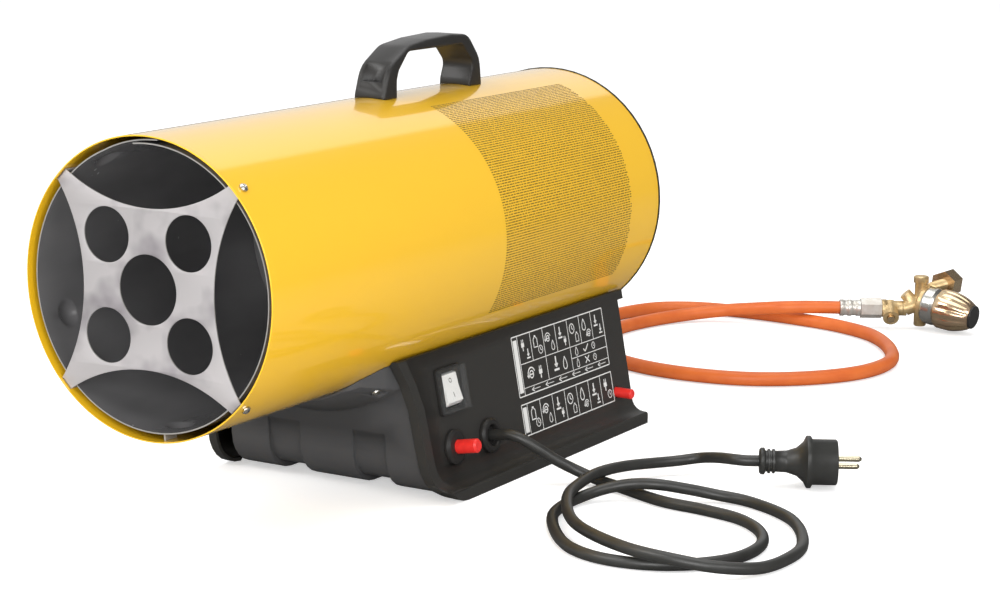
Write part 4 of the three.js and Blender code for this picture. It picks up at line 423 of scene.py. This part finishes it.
def grid_faces(rows, columns, wrap):
    """Quads between rows of points; wrap closes each row on itself."""
    last = columns if wrap else columns - 1
    faces = []
    for r in range(rows - 1):
        for c in range(last):
            n = (c + 1) % columns
            low, high = r * columns, (r + 1) * columns
            faces.append((low + c, low + n, high + n, high + c))
    return faces


def lathe(name, profile, material, place=Matrix.Identity(4), sides=96, wave=None, closed=True):
    """Turns [radius, position] points in millimetres about local X.

    wave gives a factor for the radius at an angle and a position.
    """
    rows = profile + [profile[0]] if closed else profile
    points = []
    for radius, along in rows:
        for i in range(sides):
            a = 2 * math.pi * i / sides
            r = radius * (wave(a, along) if wave and radius > 0 else 1)
            points.append(place @ (Vector((along, r * math.cos(a), r * math.sin(a))) * MM))
    return mesh_object(name, points, grid_faces(len(rows), sides, True), material)


def along_drum():
    """Local X becomes the drum's axis, from its middle."""
    return Matrix.Translation(machine(0, 0, AXIS_HEIGHT)) @ Matrix.Rotation(math.radians(90), 4, "Z")


def cut_with(obj, *tools):
    for tool in tools:
        bpy.context.scene.collection.objects.link(tool)
        cutter = obj.modifiers.new("cut", "BOOLEAN")
        cutter.object = tool
        cutter.operation = "DIFFERENCE"
        cutter.solver = "EXACT"
    if obj.name not in bpy.context.scene.collection.objects:
        bpy.context.scene.collection.objects.link(obj)
    done = applied(obj)
    for tool in tools:
        bpy.data.objects.remove(tool)
    return done


def filled_outline(name, outlines, thickness, edge, material, place):
    """A flat plate with holes, from closed outlines in millimetres: the outer one first."""
    curve = bpy.data.curves.new(name, "CURVE")
    curve.dimensions = "2D"
    curve.fill_mode = "BOTH"
    curve.extrude = (thickness / 2 - edge) * MM
    curve.bevel_depth = edge * MM
    curve.offset = -edge * MM
    curve.bevel_resolution = 1
    for outline in outlines:
        spline = curve.splines.new("POLY")
        spline.points.add(len(outline) - 1)
        for point, (x, y) in zip(spline.points, outline):
            point.co = (x * MM, y * MM, 0, 1)
        spline.use_cyclic_u = True
    flat = bpy.data.objects.new(name, curve)
    bpy.context.scene.collection.objects.link(flat)
    solid = applied(flat)
    solid.data.transform(place)
    bm = bmesh.new()
    bm.from_mesh(solid.data)
    bmesh.ops.remove_doubles(bm, verts=bm.verts, dist=1e-6)
    bm.to_mesh(solid.data)
    bm.free()
    solid.data.materials.clear()
    solid.data.materials.append(MATERIALS[material])
    smooth(solid.data)
    return solid


def box_tool(name, size, place):
    """A block of that size in millimetres, centred on its place."""
    bm = bmesh.new()
    bmesh.ops.create_cube(bm, size=1)
    bmesh.ops.scale(bm, vec=Vector(size) * MM, verts=bm.verts)
    bmesh.ops.transform(bm, matrix=place, verts=bm.verts)
    mesh = bpy.data.meshes.new(name)
    bm.to_mesh(mesh)
    bm.free()
    return bpy.data.objects.new(name, mesh)


class Ink:
    """Thin printed shapes on a surface, gathered into one mesh of shallow boxes."""

    def __init__(self, surface, height):
        self.surface = surface
        self.height = height
        self.points = []
        self.faces = []

    def quad(self, corners):
        start = len(self.points)
        for out in (0.02, self.height):
            self.points.extend(self.surface(u, v, out) for u, v in corners)
        a = [start + i for i in range(4)]
        b = [start + 4 + i for i in range(4)]
        self.faces += [a[::-1], b]
        self.faces += [[a[i], a[(i + 1) % 4], b[(i + 1) % 4], b[i]] for i in range(4)]

    def stroke(self, points, width):
        """Straight strips from point to point."""
        for (u0, v0), (u1, v1) in zip(points, points[1:]):
            length = math.hypot(u1 - u0, v1 - v0)
            du, dv = (u1 - u0) / length * width / 2, (v1 - v0) / length * width / 2
            self.quad([(u0 - dv, v0 + du), (u0 + dv, v0 - du), (u1 + dv, v1 - du), (u1 - dv, v1 + du)])

    def ring(self, u, v, radius, width, start=0, end=360, sides=16):
        turn = [math.radians(start + (end - start) * i / sides) for i in range(sides + 1)]
        inner, outer = radius - width / 2, radius + width / 2
        for a, b in zip(turn, turn[1:]):
            corners = ((inner, a), (outer, a), (outer, b), (inner, b))
            self.quad([(u + r * math.cos(t), v + r * math.sin(t)) for r, t in corners])

    def block(self, u0, u1, v0, v1):
        self.quad([(u0, v0), (u1, v0), (u1, v1), (u0, v1)])

    def piece(self, name, material):
        mesh = bpy.data.meshes.new(name)
        mesh.from_pydata([tuple(p) for p in self.points], [], self.faces)
        bm = bmesh.new()
        bm.from_mesh(mesh)
        bmesh.ops.recalc_face_normals(bm, faces=bm.faces)
        bm.to_mesh(mesh)
        bm.free()
        mesh.materials.append(MATERIALS[material])
        return bpy.data.objects.new(name, mesh)


# ---------- cords ----------


def joint_named(name):
    return next(joint for joint in frame["joints"] if joint["name"] == name)


def spline_through(route, steps=8):
    """A centripetal Catmull-Rom curve through given points."""
    points = [Vector(p) for p in route]
    ends = [2 * points[0] - points[1], *points, 2 * points[-1] - points[-2]]
    line = []
    for p0, p1, p2, p3 in zip(ends, ends[1:], ends[2:], ends[3:]):
        d0, d1, d2 = ((b - a).length ** 0.5 for a, b in ((p0, p1), (p1, p2), (p2, p3)))
        leave = ((p1 - p0) / d0 - (p2 - p0) / (d0 + d1) + (p2 - p1) / d1) * d1
        arrive = ((p2 - p1) / d1 - (p3 - p1) / (d1 + d2) + (p3 - p2) / d2) * d1
        for i in range(steps):
            t = i / steps
            line.append(
                p1 + leave * t
                + (-3 * p1 + 3 * p2 - 2 * leave - arrive) * t * t
                + (2 * p1 - 2 * p2 + leave + arrive) * t ** 3
            )
    return [*line, points[-1]]


def cord_curve(name, route, diameter, material):
    offset = Vector((DRUM_MIDDLE.x, DRUM_MIDDLE.y, 0))
    line = [p + offset for p in spline_through(route)]
    curve = bpy.data.curves.new(name, "CURVE")
    curve.dimensions = "3D"
    curve.bevel_depth = diameter / 2
    curve.bevel_resolution = 5
    curve.use_fill_caps = True
    spline = curve.splines.new("POLY")
    spline.points.add(len(line) - 1)
    for point, place in zip(spline.points, line):
        point.co = (*place, 1)
    spline.use_smooth = True
    curve.materials.append(MATERIALS[material])
    obj = bpy.data.objects.new(name, curve)
    bpy.context.scene.collection.objects.link(obj)
    length = sum((b - a).length for a, b in zip(line, line[1:]))
    return obj, line[0], length


def make_cords():
    lead, exit_point, length = cord_curve("mains_lead", LEAD_ROUTE, LEAD_DIAMETER, "lead_rubber")
    finish_piece(lead, "power_cord")
    plug = [
        dress("plug_body", "lead_rubber"),
        dress("plug_pin_1", "pin_metal"),
        dress("plug_pin_2", "pin_metal"),
    ]
    hose, exit_point, length = cord_curve("orange_hose", HOSE_ROUTE, HOSE_DIAMETER, "hose_rubber")
    finish_piece(hose, "gas_hose")
    fittings = [
        dress("hose_ferrule", "dull_zinc"),
        dress("hose_nut", "dull_zinc"),
        dress("safety_valve_body", "cast_brass", 40),
        dress("reset_button", "plated_wheel"),
        dress("regulator_body", "cast_brass", 40),
        dress("regulator_bonnet", "bright_zinc"),
        hand_wheel(),
        dress("cylinder_nut", "plated_wheel"),
        paint_node("knob_cap", "black_plastic"),
    ]


def paint_node(node, material):
    """A CAD solid that stays as it is, in a better finish."""
    obj = NODES[node]
    obj.data.materials.clear()
    obj.data.materials.append(MATERIALS[material])
    return obj


def hand_wheel():
    """The bell-shaped wheel with wide flutes round its grip."""
    axis = Vector(joint_named("regulator_knob_turn")["axis"]).normalized()
    low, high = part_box("knob_cap")
    cap = (low + high) / 2
    turn = Vector((1, 0, 0)).rotation_difference(axis).to_matrix().to_4x4()
    place = Matrix.Translation(cap) @ turn

    def wave(angle, along):
        depth = WHEEL_LOBE_DEPTH if WHEEL_START + 3 < along < WHEEL_END - 3 else 0.0
        return 1 - depth * (0.5 - 0.5 * math.cos(WHEEL_LOBES * angle)) ** 2

    stem = [(0, WHEEL_FOOT), (WHEEL_STEM_RADIUS, WHEEL_FOOT), (WHEEL_STEM_RADIUS, WHEEL_START), (19.4, WHEEL_START)]
    bell = [
        (20.4, 0.03), (21.1, 0.07), (21.4, 0.2), (21.2, 0.4), (20.6, 0.5), (19.6, 0.6), (18.4, 0.7), (17, 0.8),
        (15.2, 0.9), (13.8, 0.96),
    ]
    grip = [(radius, WHEEL_START + (WHEEL_END - WHEEL_START) * share) for radius, share in bell]
    profile = [*stem, *grip, (12.4, WHEEL_END), (0, WHEEL_END)]
    wheel = lathe("hand_wheel", profile, "plated_wheel", place, WHEEL_LOBES * 16, wave, closed=False)
    return finish_piece(wheel, "regulator_knob")


# ---------- drum, chamber and flame plate ----------


def make_drum():
    outer, inner, half, roll = DRUM_RADIUS, DRUM_RADIUS - DRUM_SHEET, DRUM_HALF, 0.35
    profile = [
        (outer - roll, -half), (outer, -half + roll), (outer, -half + 6), (outer, 0), (outer, half - 6),
        (outer, half - roll), (outer - roll, half), (inner, half), (inner, 0), (inner, -half),
    ]
    shell = lathe("drum_shell", profile, "yellow_enamel", along_drum(), sides=240)
    finish_piece(shell, "outer_drum")


def chamber_radius(turned):
    """The rolled sheet's outer radius after turning that many degrees from its hidden end."""
    rise_start = 360 - SEAM_LAP - 3
    return CHAMBER_RADIUS + SEAM_RISE * max(0, (turned - rise_start) / (SEAM_LAP + SEAM_LAP + 3))


def dent(angle, y):
    """How far the sheet stands out at a place because of the round dimples."""
    best = 0
    for middle in DIMPLE_ANGLES:
        arc = math.radians((angle - middle + 180) % 360 - 180) * CHAMBER_RADIUS
        share = math.hypot(arc, y - DIMPLE_Y) / DIMPLE_RADIUS
        if share < 1:
            best = max(best, DIMPLE_DEPTH * (1 - share * share) ** 1.3)
    return best


def make_chamber():
    rows = [CHAMBER_FRONT, CHAMBER_FRONT + 6]
    y = DIMPLE_Y - DIMPLE_RADIUS
    while y < DIMPLE_Y + DIMPLE_RADIUS + 0.1:
        rows.append(y)
        y += 1.1
    rows += [DIMPLE_Y + 22, DIMPLE_Y + 60, DIMPLE_Y + 130, CHAMBER_REAR]
    steps = 420
    full = 360 + SEAM_LAP
    points = []
    for side in (0, CHAMBER_SHEET):
        for y in rows:
            for i in range(steps + 1):
                turned = full * i / steps
                angle = SEAM_ANGLE - turned
                points.append(round_drum(chamber_radius(turned) + dent(angle, y) - side, angle, y))
    columns = steps + 1
    skin = grid_faces(len(rows), columns, False)
    offset = len(rows) * columns
    inner = [tuple(offset + i for i in reversed(f)) for f in skin]
    rims = []
    for c in range(steps):
        rims.append((c + 1, c, offset + c, offset + c + 1))
        last = (len(rows) - 1) * columns + c
        rims.append((last, last + 1, offset + last + 1, offset + last))
    for r in range(len(rows) - 1):
        a, b = r * columns, (r + 1) * columns
        rims.append((a, b, offset + b, offset + a))
        rims.append((b + steps, a + steps, offset + a + steps, offset + b + steps))
    liner = mesh_object("chamber_liner", points, skin + inner + rims, "dark_liner")
    liner.data.materials.append(MATERIALS["cut_edge"])
    front = machine(0, CHAMBER_FRONT, 0).y
    for face in liner.data.polygons:
        if abs(face.center.y - front) < 1e-5:
            face.material_index = 1
    finish_piece(liner, "combustion_chamber")
    wall = [
        (52, CHAMBER_REAR - 1), (54, CHAMBER_REAR - 3), (60, CHAMBER_REAR - 3), (63, CHAMBER_REAR - 1),
        (CHAMBER_RADIUS - 1.4, CHAMBER_REAR - 1), (CHAMBER_RADIUS - 1.4, CHAMBER_REAR),
        (52, CHAMBER_REAR),
    ]
    back = lathe("chamber_rear_wall", wall, "dark_liner", along_drum(), sides=120)
    finish_piece(back, body=BODY_OF["combustion_chamber"])


def make_flame_plate():
    half_tip = PLATE_TIP_WIDTH / 2
    corner = (PLATE_REACH + half_tip) / math.sqrt(2), (PLATE_REACH - half_tip) / math.sqrt(2)
    centre = (corner[0] ** 2 + corner[1] ** 2 - PLATE_WAIST ** 2) / (2 * (corner[0] - PLATE_WAIST))
    radius = centre - PLATE_WAIST
    spread = math.asin(corner[1] / radius)
    outline = []
    for side in range(4):
        turn = side * math.pi / 2
        c, s = math.cos(turn), math.sin(turn)
        for i in range(41):
            a = spread * (i / 20 - 1)
            x, y = centre - radius * math.cos(a), radius * math.sin(a)
            outline.append((x * c - y * s, x * s + y * c))

    def hole(x, y, r, sides=72):
        return [
            (x + r * math.cos(2 * math.pi * i / sides), y - r * math.sin(2 * math.pi * i / sides))
            for i in range(sides)
        ]

    out = PLATE_ARM_HOLE_PLACE
    holes = [hole(0, 0, PLATE_MIDDLE_HOLE)]
    holes += [hole(x, y, PLATE_ARM_HOLE) for x in (-out, out) for y in (-out, out)]
    place = Matrix.Translation(machine(0, PLATE_FRONT + PLATE_THICKNESS / 2, AXIS_HEIGHT))
    place = place @ Matrix.Rotation(math.radians(90), 4, "X")
    plate = filled_outline("flame_baffle", [outline, *holes], PLATE_THICKNESS, PLATE_SIDE, "galvanised", place)
    plate.data.materials.append(MATERIALS["cut_edge"])
    for face in plate.data.polygons:
        if abs(face.normal.y) < 0.9:
            face.material_index = 1
    bpy.context.scene.collection.objects.link(plate)
    finish_piece(plate, "flame_plate")
    make_plate_tabs()


def make_plate_tabs():
    """The four ends of the plate, bent back along the drum."""
    half_tip = PLATE_TIP_WIDTH / 2
    end = PLATE_TAB_LENGTH
    side = [(end - 4, half_tip), (end - 1, half_tip - 1.5), (end, half_tip - 4)]
    outline = [(0, -half_tip), *((x, -y) for x, y in side), *reversed(side), (0, half_tip)]
    turns = [k * math.pi / 8 for k in range(16)]
    ring = [(TAB_HOLE_PLACE + TAB_HOLE_RADIUS * math.cos(a), TAB_HOLE_RADIUS * math.sin(a)) for a in turns]
    outwards = (PLATE_REACH - PLATE_THICKNESS / 2) * MM
    lie = Matrix(((0, 0, 1, outwards), (1, 0, 0, 0), (0, 1, 0, 0), (0, 0, 0, 1)))
    middle = Matrix.Translation(machine(0, PLATE_FRONT, AXIS_HEIGHT))
    for i, angle in enumerate((45, 135, 225, 315)):
        place = middle @ Matrix.Rotation(-math.radians(angle), 4, "Y") @ lie
        name = f"baffle_tab_{i + 1}"
        tab = filled_outline(name, [outline, ring], PLATE_THICKNESS, PLATE_SIDE, "galvanised", place)
        bpy.context.scene.collection.objects.link(tab)
        finish_piece(tab, body=BODY_OF["flame_plate"])


def make_spacer():
    """The small strip that keeps the chamber off the bottom of the drum."""
    corners = []
    for y in (CHAMBER_FRONT + 1, CHAMBER_FRONT + 14):
        for angle in (-84.7, -83.9):
            corners.append(round_drum(CHAMBER_RADIUS + 0.1, angle, y))
            corners.append(round_drum(DRUM_RADIUS - DRUM_SHEET - 0.2, angle, y))
    a, b, c, d, e, f, g, h = range(8)
    faces = [(a, b, d, c), (e, g, h, f), (a, e, f, b), (c, d, h, g), (a, c, g, e), (b, f, h, d)]
    strip = mesh_object("spacer_strip", corners, faces, "cut_edge")
    finish_piece(strip, body=BODY_OF["combustion_chamber"])


# ---------- screws ----------


def screw(node, outwards, depth=1.3, reach=4.4, width=1.0, twist=20):
    """A pan head with a cross recess; outwards is the way that its head points."""
    low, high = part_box(node)
    middle = (low + high) / 2
    outwards = outwards.normalized()
    mesh = NODES[node].data
    top = max((v.co - middle).dot(outwards) for v in mesh.vertices)
    turn = Vector((0, 0, 1)).rotation_difference(outwards).to_matrix().to_4x4()
    place = Matrix.Translation(middle + outwards * top) @ turn @ Matrix.Rotation(math.radians(twist), 4, "Z")
    obj = dress(node, "bright_zinc", 50)
    arms = [
        box_tool("arm_a", (reach, width, 2 * depth), place),
        box_tool("arm_b", (width, reach, 2 * depth), place),
    ]
    return cut_with(obj, *arms)


def make_screws():
    axis = machine(0, 0, AXIS_HEIGHT)

    def outwards(node):
        low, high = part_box(node)
        way = (low + high) / 2 - axis
        return Vector((way.x, 0, way.z))

    for i in range(4):
        plate, saddle = f"plate_screw_{i + 1}", f"saddle_screw_{i + 1}"
        screw(plate, outwards(plate), twist=20 + 31 * i)
        screw(saddle, outwards(saddle), reach=5.2, width=1.2, twist=12 + 40 * i)
    for i in range(3):
        screw(f"guard_screw_{i + 1}", outwards(f"guard_screw_{i + 1}"), twist=37 * i)
        screw(f"motor_screw_{i + 1}", Vector((0, 1, 0)), twist=15 + 29 * i)
    for i in range(2):
        screw(f"handle_screw_{i + 1}", Vector((0, 0, -1)), twist=33 * i)


# ---------- printing ----------


def print_drum():
    """A block of plain dashes, in lines along the drum."""
    ink = Ink(lambda angle, y, out: round_drum(DRUM_RADIUS + out, angle, y), 0.09)
    random.seed(4)
    line_height = math.degrees(PRINT_LINE / DRUM_RADIUS)
    step = math.degrees(PRINT_PITCH / DRUM_RADIUS)
    angle = PRINT_TOP
    while angle > PRINT_BOTTOM:
        y = PRINT_START
        while y < PRINT_END - 2:
            length = min(random.uniform(1.2, 5.5), PRINT_END - y)
            ink.block(angle, angle + line_height, y, y + length)
            y += length + random.uniform(0.7, 1.5)
        angle -= step
    dashes = ink.piece("drum_print", "olive_ink")
    finish_piece(dashes, body=BODY_OF["outer_drum"])


def pictogram(ink, kind, u, v, size):
    """One of a few plain signs, centred on a place."""
    s = size
    line = 0.07 * size
    if kind == 0:  # a bottle
        for w in (-s, s):
            ink.stroke([(u + w * 0.25, v - s * 0.4), (u + w * 0.25, v + s * 0.15), (u + w * 0.08, v + s * 0.3)], line)
        ink.stroke([(u - s * 0.28, v - s * 0.4), (u + s * 0.28, v - s * 0.4)], line)
        ink.block(u - s * 0.1, u + s * 0.1, v + s * 0.3, v + s * 0.42)
    elif kind == 1:  # a hand wheel with a turning arrow
        ink.ring(u, v - s * 0.1, s * 0.2, line)
        ink.stroke([(u - s * 0.18, v - s * 0.1), (u + s * 0.18, v - s * 0.1)], line)
        ink.ring(u, v - s * 0.1, s * 0.38, line, 20, 200, 12)
        tip = (u - s * 0.36, v - s * 0.26)
        ink.stroke([(u - s * 0.46, v - s * 0.1), tip, (u - s * 0.24, v - s * 0.12)], line)
    elif kind == 2:  # a finger on a button
        ink.block(u - s * 0.28, u + s * 0.28, v - s * 0.4, v - s * 0.28)
        ink.stroke([(u, v + s * 0.42), (u, v - s * 0.16)], line * 1.8)
        ink.stroke([(u - s * 0.16, v), (u, v - s * 0.18), (u + s * 0.16, v)], line * 1.4)
    elif kind == 3:  # a clock
        ink.ring(u, v, s * 0.34, line)
        ink.stroke([(u, v + s * 0.22), (u, v), (u + s * 0.16, v - s * 0.08)], line)
    elif kind == 4:  # a plug
        ink.block(u - s * 0.2, u + s * 0.2, v - s * 0.12, v + s * 0.16)
        ink.stroke([(u - s * 0.1, v + s * 0.16), (u - s * 0.1, v + s * 0.4)], line)
        ink.stroke([(u + s * 0.1, v + s * 0.16), (u + s * 0.1, v + s * 0.4)], line)
        ink.stroke([(u, v - s * 0.12), (u, v - s * 0.4)], line * 1.4)
    else:  # a flame
        ink.stroke([(u, v + s * 0.42), (u - s * 0.2, v + s * 0.1), (u - s * 0.24, v - s * 0.16)], line)
        ink.ring(u, v - s * 0.16, s * 0.24, line, 180, 360, 10)
        ink.stroke([(u + s * 0.24, v - s * 0.16), (u + s * 0.16, v + s * 0.14), (u, v + s * 0.42)], line)


def frame_box(ink, u0, u1, v0, v1, line):
    ink.stroke([(u0, v0), (u1, v0)], line)
    ink.stroke([(u1, v0), (u1, v1)], line)
    ink.stroke([(u1, v1), (u0, v1)], line)
    ink.stroke([(u0, v1), (u0, v0)], line)


def print_panel():
    """Two framed rows of plain signs that show starting and stopping, with no words."""
    ink = Ink(on_panel, 0.12)
    line = 0.9
    left, right, band = 82.0, 238.0, 9.0
    frame_box(ink, left, right, 57, 107, line)
    frame_box(ink, left, right, 24.5, 50.5, line)
    ink.block(left + 1.5, left + band - 1.5, 60, 104)
    ink.block(left + 1.5, left + band - 1.5, 27, 48)
    middle = 83.0
    start = left + band
    ink.stroke([(start, 57), (start, 107)], line * 0.7)
    ink.stroke([(start, 24.5), (start, 50.5)], line * 0.7)
    ink.stroke([(start, middle), (right, middle)], line * 0.7)
    columns = 7
    width = (right - start) / columns
    kinds = [4, 0, 1, 2, 3, 5, 2]
    for i in range(columns):
        u = start + width * (i + 0.5)
        if i:
            ink.stroke([(start + width * i, middle), (start + width * i, 107)], line * 0.7)
            ink.stroke([(start + width * i, 24.5), (start + width * i, 50.5)], line * 0.7)
        pictogram(ink, kinds[i], u - 3, 98, 12)
        pictogram(ink, kinds[(i + 3) % 6], u + 4, 90, 10)
        pictogram(ink, kinds[(i + 1) % 7], u - 2, 41, 13)
        pictogram(ink, kinds[(i + 4) % 6], u + 4, 32, 10)
    wide = (right - start) / 3.5
    for i, kind in enumerate((1, 2)):
        u = start + wide * (i + 0.5)
        ink.stroke([(start + wide * (i + 1), 63), (start + wide * (i + 1), middle)], line * 0.7)
        pictogram(ink, kind, u - 6, 74, 15)
        pictogram(ink, kind + 3, u + 9, 72, 13)
    ink.stroke([(start, 63), (right, 63)], line * 0.6)
    cell = start + wide * 2
    ink.stroke([(cell, 73), (right, 73)], line * 0.7)
    for v in (78, 68):
        pictogram(ink, 5, cell + 10, v, 9)
        pictogram(ink, 3, cell + 40, v, 8)
    ink.stroke([(cell + 22, 78), (cell + 25, 75.5), (cell + 31, 81)], line * 1.2)
    ink.stroke([(cell + 23, 65.5), (cell + 30, 71)], line * 1.2)
    ink.stroke([(cell + 23, 71), (cell + 30, 65.5)], line * 1.2)
    for i in range(6):
        u = start + 12 + i * 23
        ink.stroke([(u + 14, 60), (u, 60)], line * 0.6)
        ink.stroke([(u + 4, 61.8), (u, 60), (u + 4, 58.2)], line * 0.8)
    signs = ink.piece("panel_print", "white_print")
    finish_piece(signs, body=BODY_OF["control_panel"])


def mark_rocker():
    """The ring and the bar of a switch, on the two faces of the rocker."""
    low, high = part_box("rocker")
    middle_y = (low.y + high.y) / 2
    pivot = Vector(joint_named("rocker_tilt")["pos_m"])
    lean = Matrix.Rotation(-PANEL_LEAN, 3, "Y")
    side = Vector((0, 1, 0))

    def on_rocker(degrees, share):
        a = math.radians(degrees)
        return pivot + lean @ (Vector((math.cos(a), 0, math.sin(a))) * ROCKER_RADIUS * share * MM)

    crease = on_rocker(ROCKER_CREASE_ANGLE, ROCKER_CREASE_SHARE)
    for name, degrees in ROCKER_EDGE_ANGLES.items():
        edge = on_rocker(degrees, 1)
        centre = Vector(((edge.x + crease.x) / 2, middle_y, (edge.z + crease.z) / 2))
        up = (edge - crease).normalized() * (1 if degrees > 0 else -1)
        out = side.cross(up).normalized()
        if out.x < 0:
            out = -out

        def surface(u, v, height, centre=centre, up=up, out=out):
            return centre + (side * u + up * v + out * height) * MM

        ink = Ink(surface, 0.1)
        if name == "rocker_on_mark":
            ink.block(-0.35, 0.35, -2, 2)
        else:
            ink.ring(0, 0.5, 1.7, 0.6, sides=20)
        finish_piece(ink.piece(name, "black_ink"), body=BODY_OF["rocker"])


# ---------- the rest ----------


def make_plain_pieces():
    dress("handle", "grip_plastic", 38)
    dress("rear_guard", "black_plastic", 38)
    dress("base_body", "base_plastic", 32)
    for node in ("control_panel", "left_cover"):
        dress(node, "cover_plastic", 24)
    for node in ("switch_housing", "igniter_body", "cord_gland"):
        dress(node, "black_plastic")
    dress("rocker", "white_plastic", 25)
    dress("switch_cover", "clear_cap")
    for node in ("igniter_button", "gas_valve_button"):
        dress(node, "red_plastic")
    for node in ("gas_valve_body", "gas_inlet_fitting", "hose_inlet_nut", "gas_nozzle"):
        dress(node, "cast_brass")
    for node in ("gas_pipe", "thermocouple"):
        dress(node, "copper", 50)
    dress("ignition_electrode", "ceramic")
    dress("terminal_block", "white_plastic")
    for node in ("fan_motor", "fan_rotor", "overheat_thermostat"):
        dress(node, "aluminium")
    dress("motor_shaft", "bright_zinc")
    for node in ("motor_bracket", "burner_cup"):
        dress(node, "dark_liner")


# ---------- floor, light and background ----------


def make_floor():
    """A plain floor, near white to the camera and dimmer in reflections."""
    mesh = bpy.data.meshes.new("floor")
    size = 12
    corners = [(-size, -size, 0), (size, -size, 0), (size, size, 0), (-size, size, 0)]
    mesh.from_pydata(corners, [], [(0, 1, 2, 3)])
    floor = bpy.data.objects.new("floor", mesh)
    bpy.context.scene.collection.objects.link(floor)
    material = bpy.data.materials.new("floor")
    material.use_nodes = True
    tree = material.node_tree
    tree.nodes.clear()
    output = tree.nodes.new("ShaderNodeOutputMaterial")
    path = tree.nodes.new("ShaderNodeLightPath")
    shade = tree.nodes.new("ShaderNodeMapRange")
    shade.inputs["To Min"].default_value = 0.82
    shade.inputs["To Max"].default_value = 0.16
    tree.links.new(path.outputs["Is Glossy Ray"], shade.inputs["Value"])
    diffuse = tree.nodes.new("ShaderNodeBsdfDiffuse")
    tree.links.new(shade.outputs["Result"], diffuse.inputs["Color"])
    glow = tree.nodes.new("ShaderNodeEmission")
    seen = tree.nodes.new("ShaderNodeMath")
    seen.operation = "MAXIMUM"
    tree.links.new(path.outputs["Is Camera Ray"], seen.inputs[0])
    tree.links.new(path.outputs["Is Transmission Ray"], seen.inputs[1])
    strength = tree.nodes.new("ShaderNodeMath")
    strength.operation = "MULTIPLY"
    strength.inputs[1].default_value = 0.46
    tree.links.new(seen.outputs[0], strength.inputs[0])
    tree.links.new(strength.outputs[0], glow.inputs["Strength"])
    add = tree.nodes.new("ShaderNodeAddShader")
    tree.links.new(diffuse.outputs[0], add.inputs[0])
    tree.links.new(glow.outputs[0], add.inputs[1])
    tree.links.new(add.outputs[0], output.inputs["Surface"])
    mesh.materials.append(material)


def make_world():
    """White to the camera, an even light on the object, and in reflections pale on the left and dim elsewhere."""
    world = bpy.data.worlds.new("studio")
    bpy.context.scene.world = world
    world.use_nodes = True
    tree = world.node_tree
    tree.nodes.clear()

    def node(kind):
        return tree.nodes.new(kind)

    output = node("ShaderNodeOutputWorld")
    path = node("ShaderNodeLightPath")
    where = node("ShaderNodeTexCoord")
    parts = node("ShaderNodeSeparateXYZ")
    tree.links.new(where.outputs["Generated"], parts.inputs[0])
    white_side = node("ShaderNodeMapRange")
    dark_side = node("ShaderNodeMapRange")
    for spread, axis, low, high, at_low, at_high in (
        (white_side, "X", -0.1, -0.04, 1.0, 0.0),
        (dark_side, "Y", -0.2, 0.2, 0.5, 0.16),
    ):
        spread.inputs["From Min"].default_value = low
        spread.inputs["From Max"].default_value = high
        spread.inputs["To Min"].default_value = at_low
        spread.inputs["To Max"].default_value = at_high
        tree.links.new(parts.outputs[axis], spread.inputs["Value"])
    brighter = node("ShaderNodeMath")
    brighter.operation = "MAXIMUM"
    tree.links.new(white_side.outputs["Result"], brighter.inputs[0])
    tree.links.new(dark_side.outputs["Result"], brighter.inputs[1])
    reflected = node("ShaderNodeBackground")
    tree.links.new(brighter.outputs[0], reflected.inputs["Strength"])
    ambient = node("ShaderNodeBackground")
    ambient.inputs["Color"].default_value = (1, 1, 1, 1)
    ambient.inputs["Strength"].default_value = 0.62
    white = node("ShaderNodeBackground")
    white.inputs["Color"].default_value = (1, 1, 1, 1)
    white.inputs["Strength"].default_value = 1.0
    shiny = node("ShaderNodeMath")
    shiny.operation = "MAXIMUM"
    tree.links.new(path.outputs["Is Glossy Ray"], shiny.inputs[0])
    tree.links.new(path.outputs["Is Transmission Ray"], shiny.inputs[1])
    first = node("ShaderNodeMixShader")
    tree.links.new(shiny.outputs[0], first.inputs[0])
    tree.links.new(ambient.outputs[0], first.inputs[1])
    tree.links.new(reflected.outputs[0], first.inputs[2])
    second = node("ShaderNodeMixShader")
    tree.links.new(path.outputs["Is Camera Ray"], second.inputs[0])
    tree.links.new(first.outputs[0], second.inputs[1])
    tree.links.new(white.outputs[0], second.inputs[2])
    tree.links.new(second.outputs[0], output.inputs["Surface"])


def area_light(name, place, target, size, power):
    light = bpy.data.lights.new(name, "AREA")
    light.shape = "RECTANGLE"
    light.size, light.size_y = size
    light.energy = power
    lamp = bpy.data.objects.new(name, light)
    bpy.context.scene.collection.objects.link(lamp)
    lamp.location = place
    lamp.rotation_mode = "QUATERNION"
    lamp.rotation_quaternion = (Vector(target) - Vector(place)).to_track_quat("-Z", "Y")


def make_lights():
    area_light("key_light", (-1.6, -2.4, 2.6), (0, 0, 0.2), (1.6, 1.6), 52)
    area_light("fill_light", (2.8, -1.2, 1.5), (0, 0, 0.15), (1.8, 1.2), 32)
    area_light("top_light", (0.2, 0.6, 3.0), (0, 0, 0.2), (2.2, 2.2), 40)
    area_light("bore_light", (1.3, -2.8, 0.8), (0, -0.2, 0.2), (1.4, 1.4), 56)


bpy.context.scene.view_settings.view_transform = "Standard"
make_camera()
MATERIALS = make_materials()
make_cords()
make_drum()
make_chamber()
make_flame_plate()
make_spacer()
make_screws()
make_plain_pieces()
print_drum()
print_panel()
mark_rocker()
make_floor()
make_world()
make_lights()
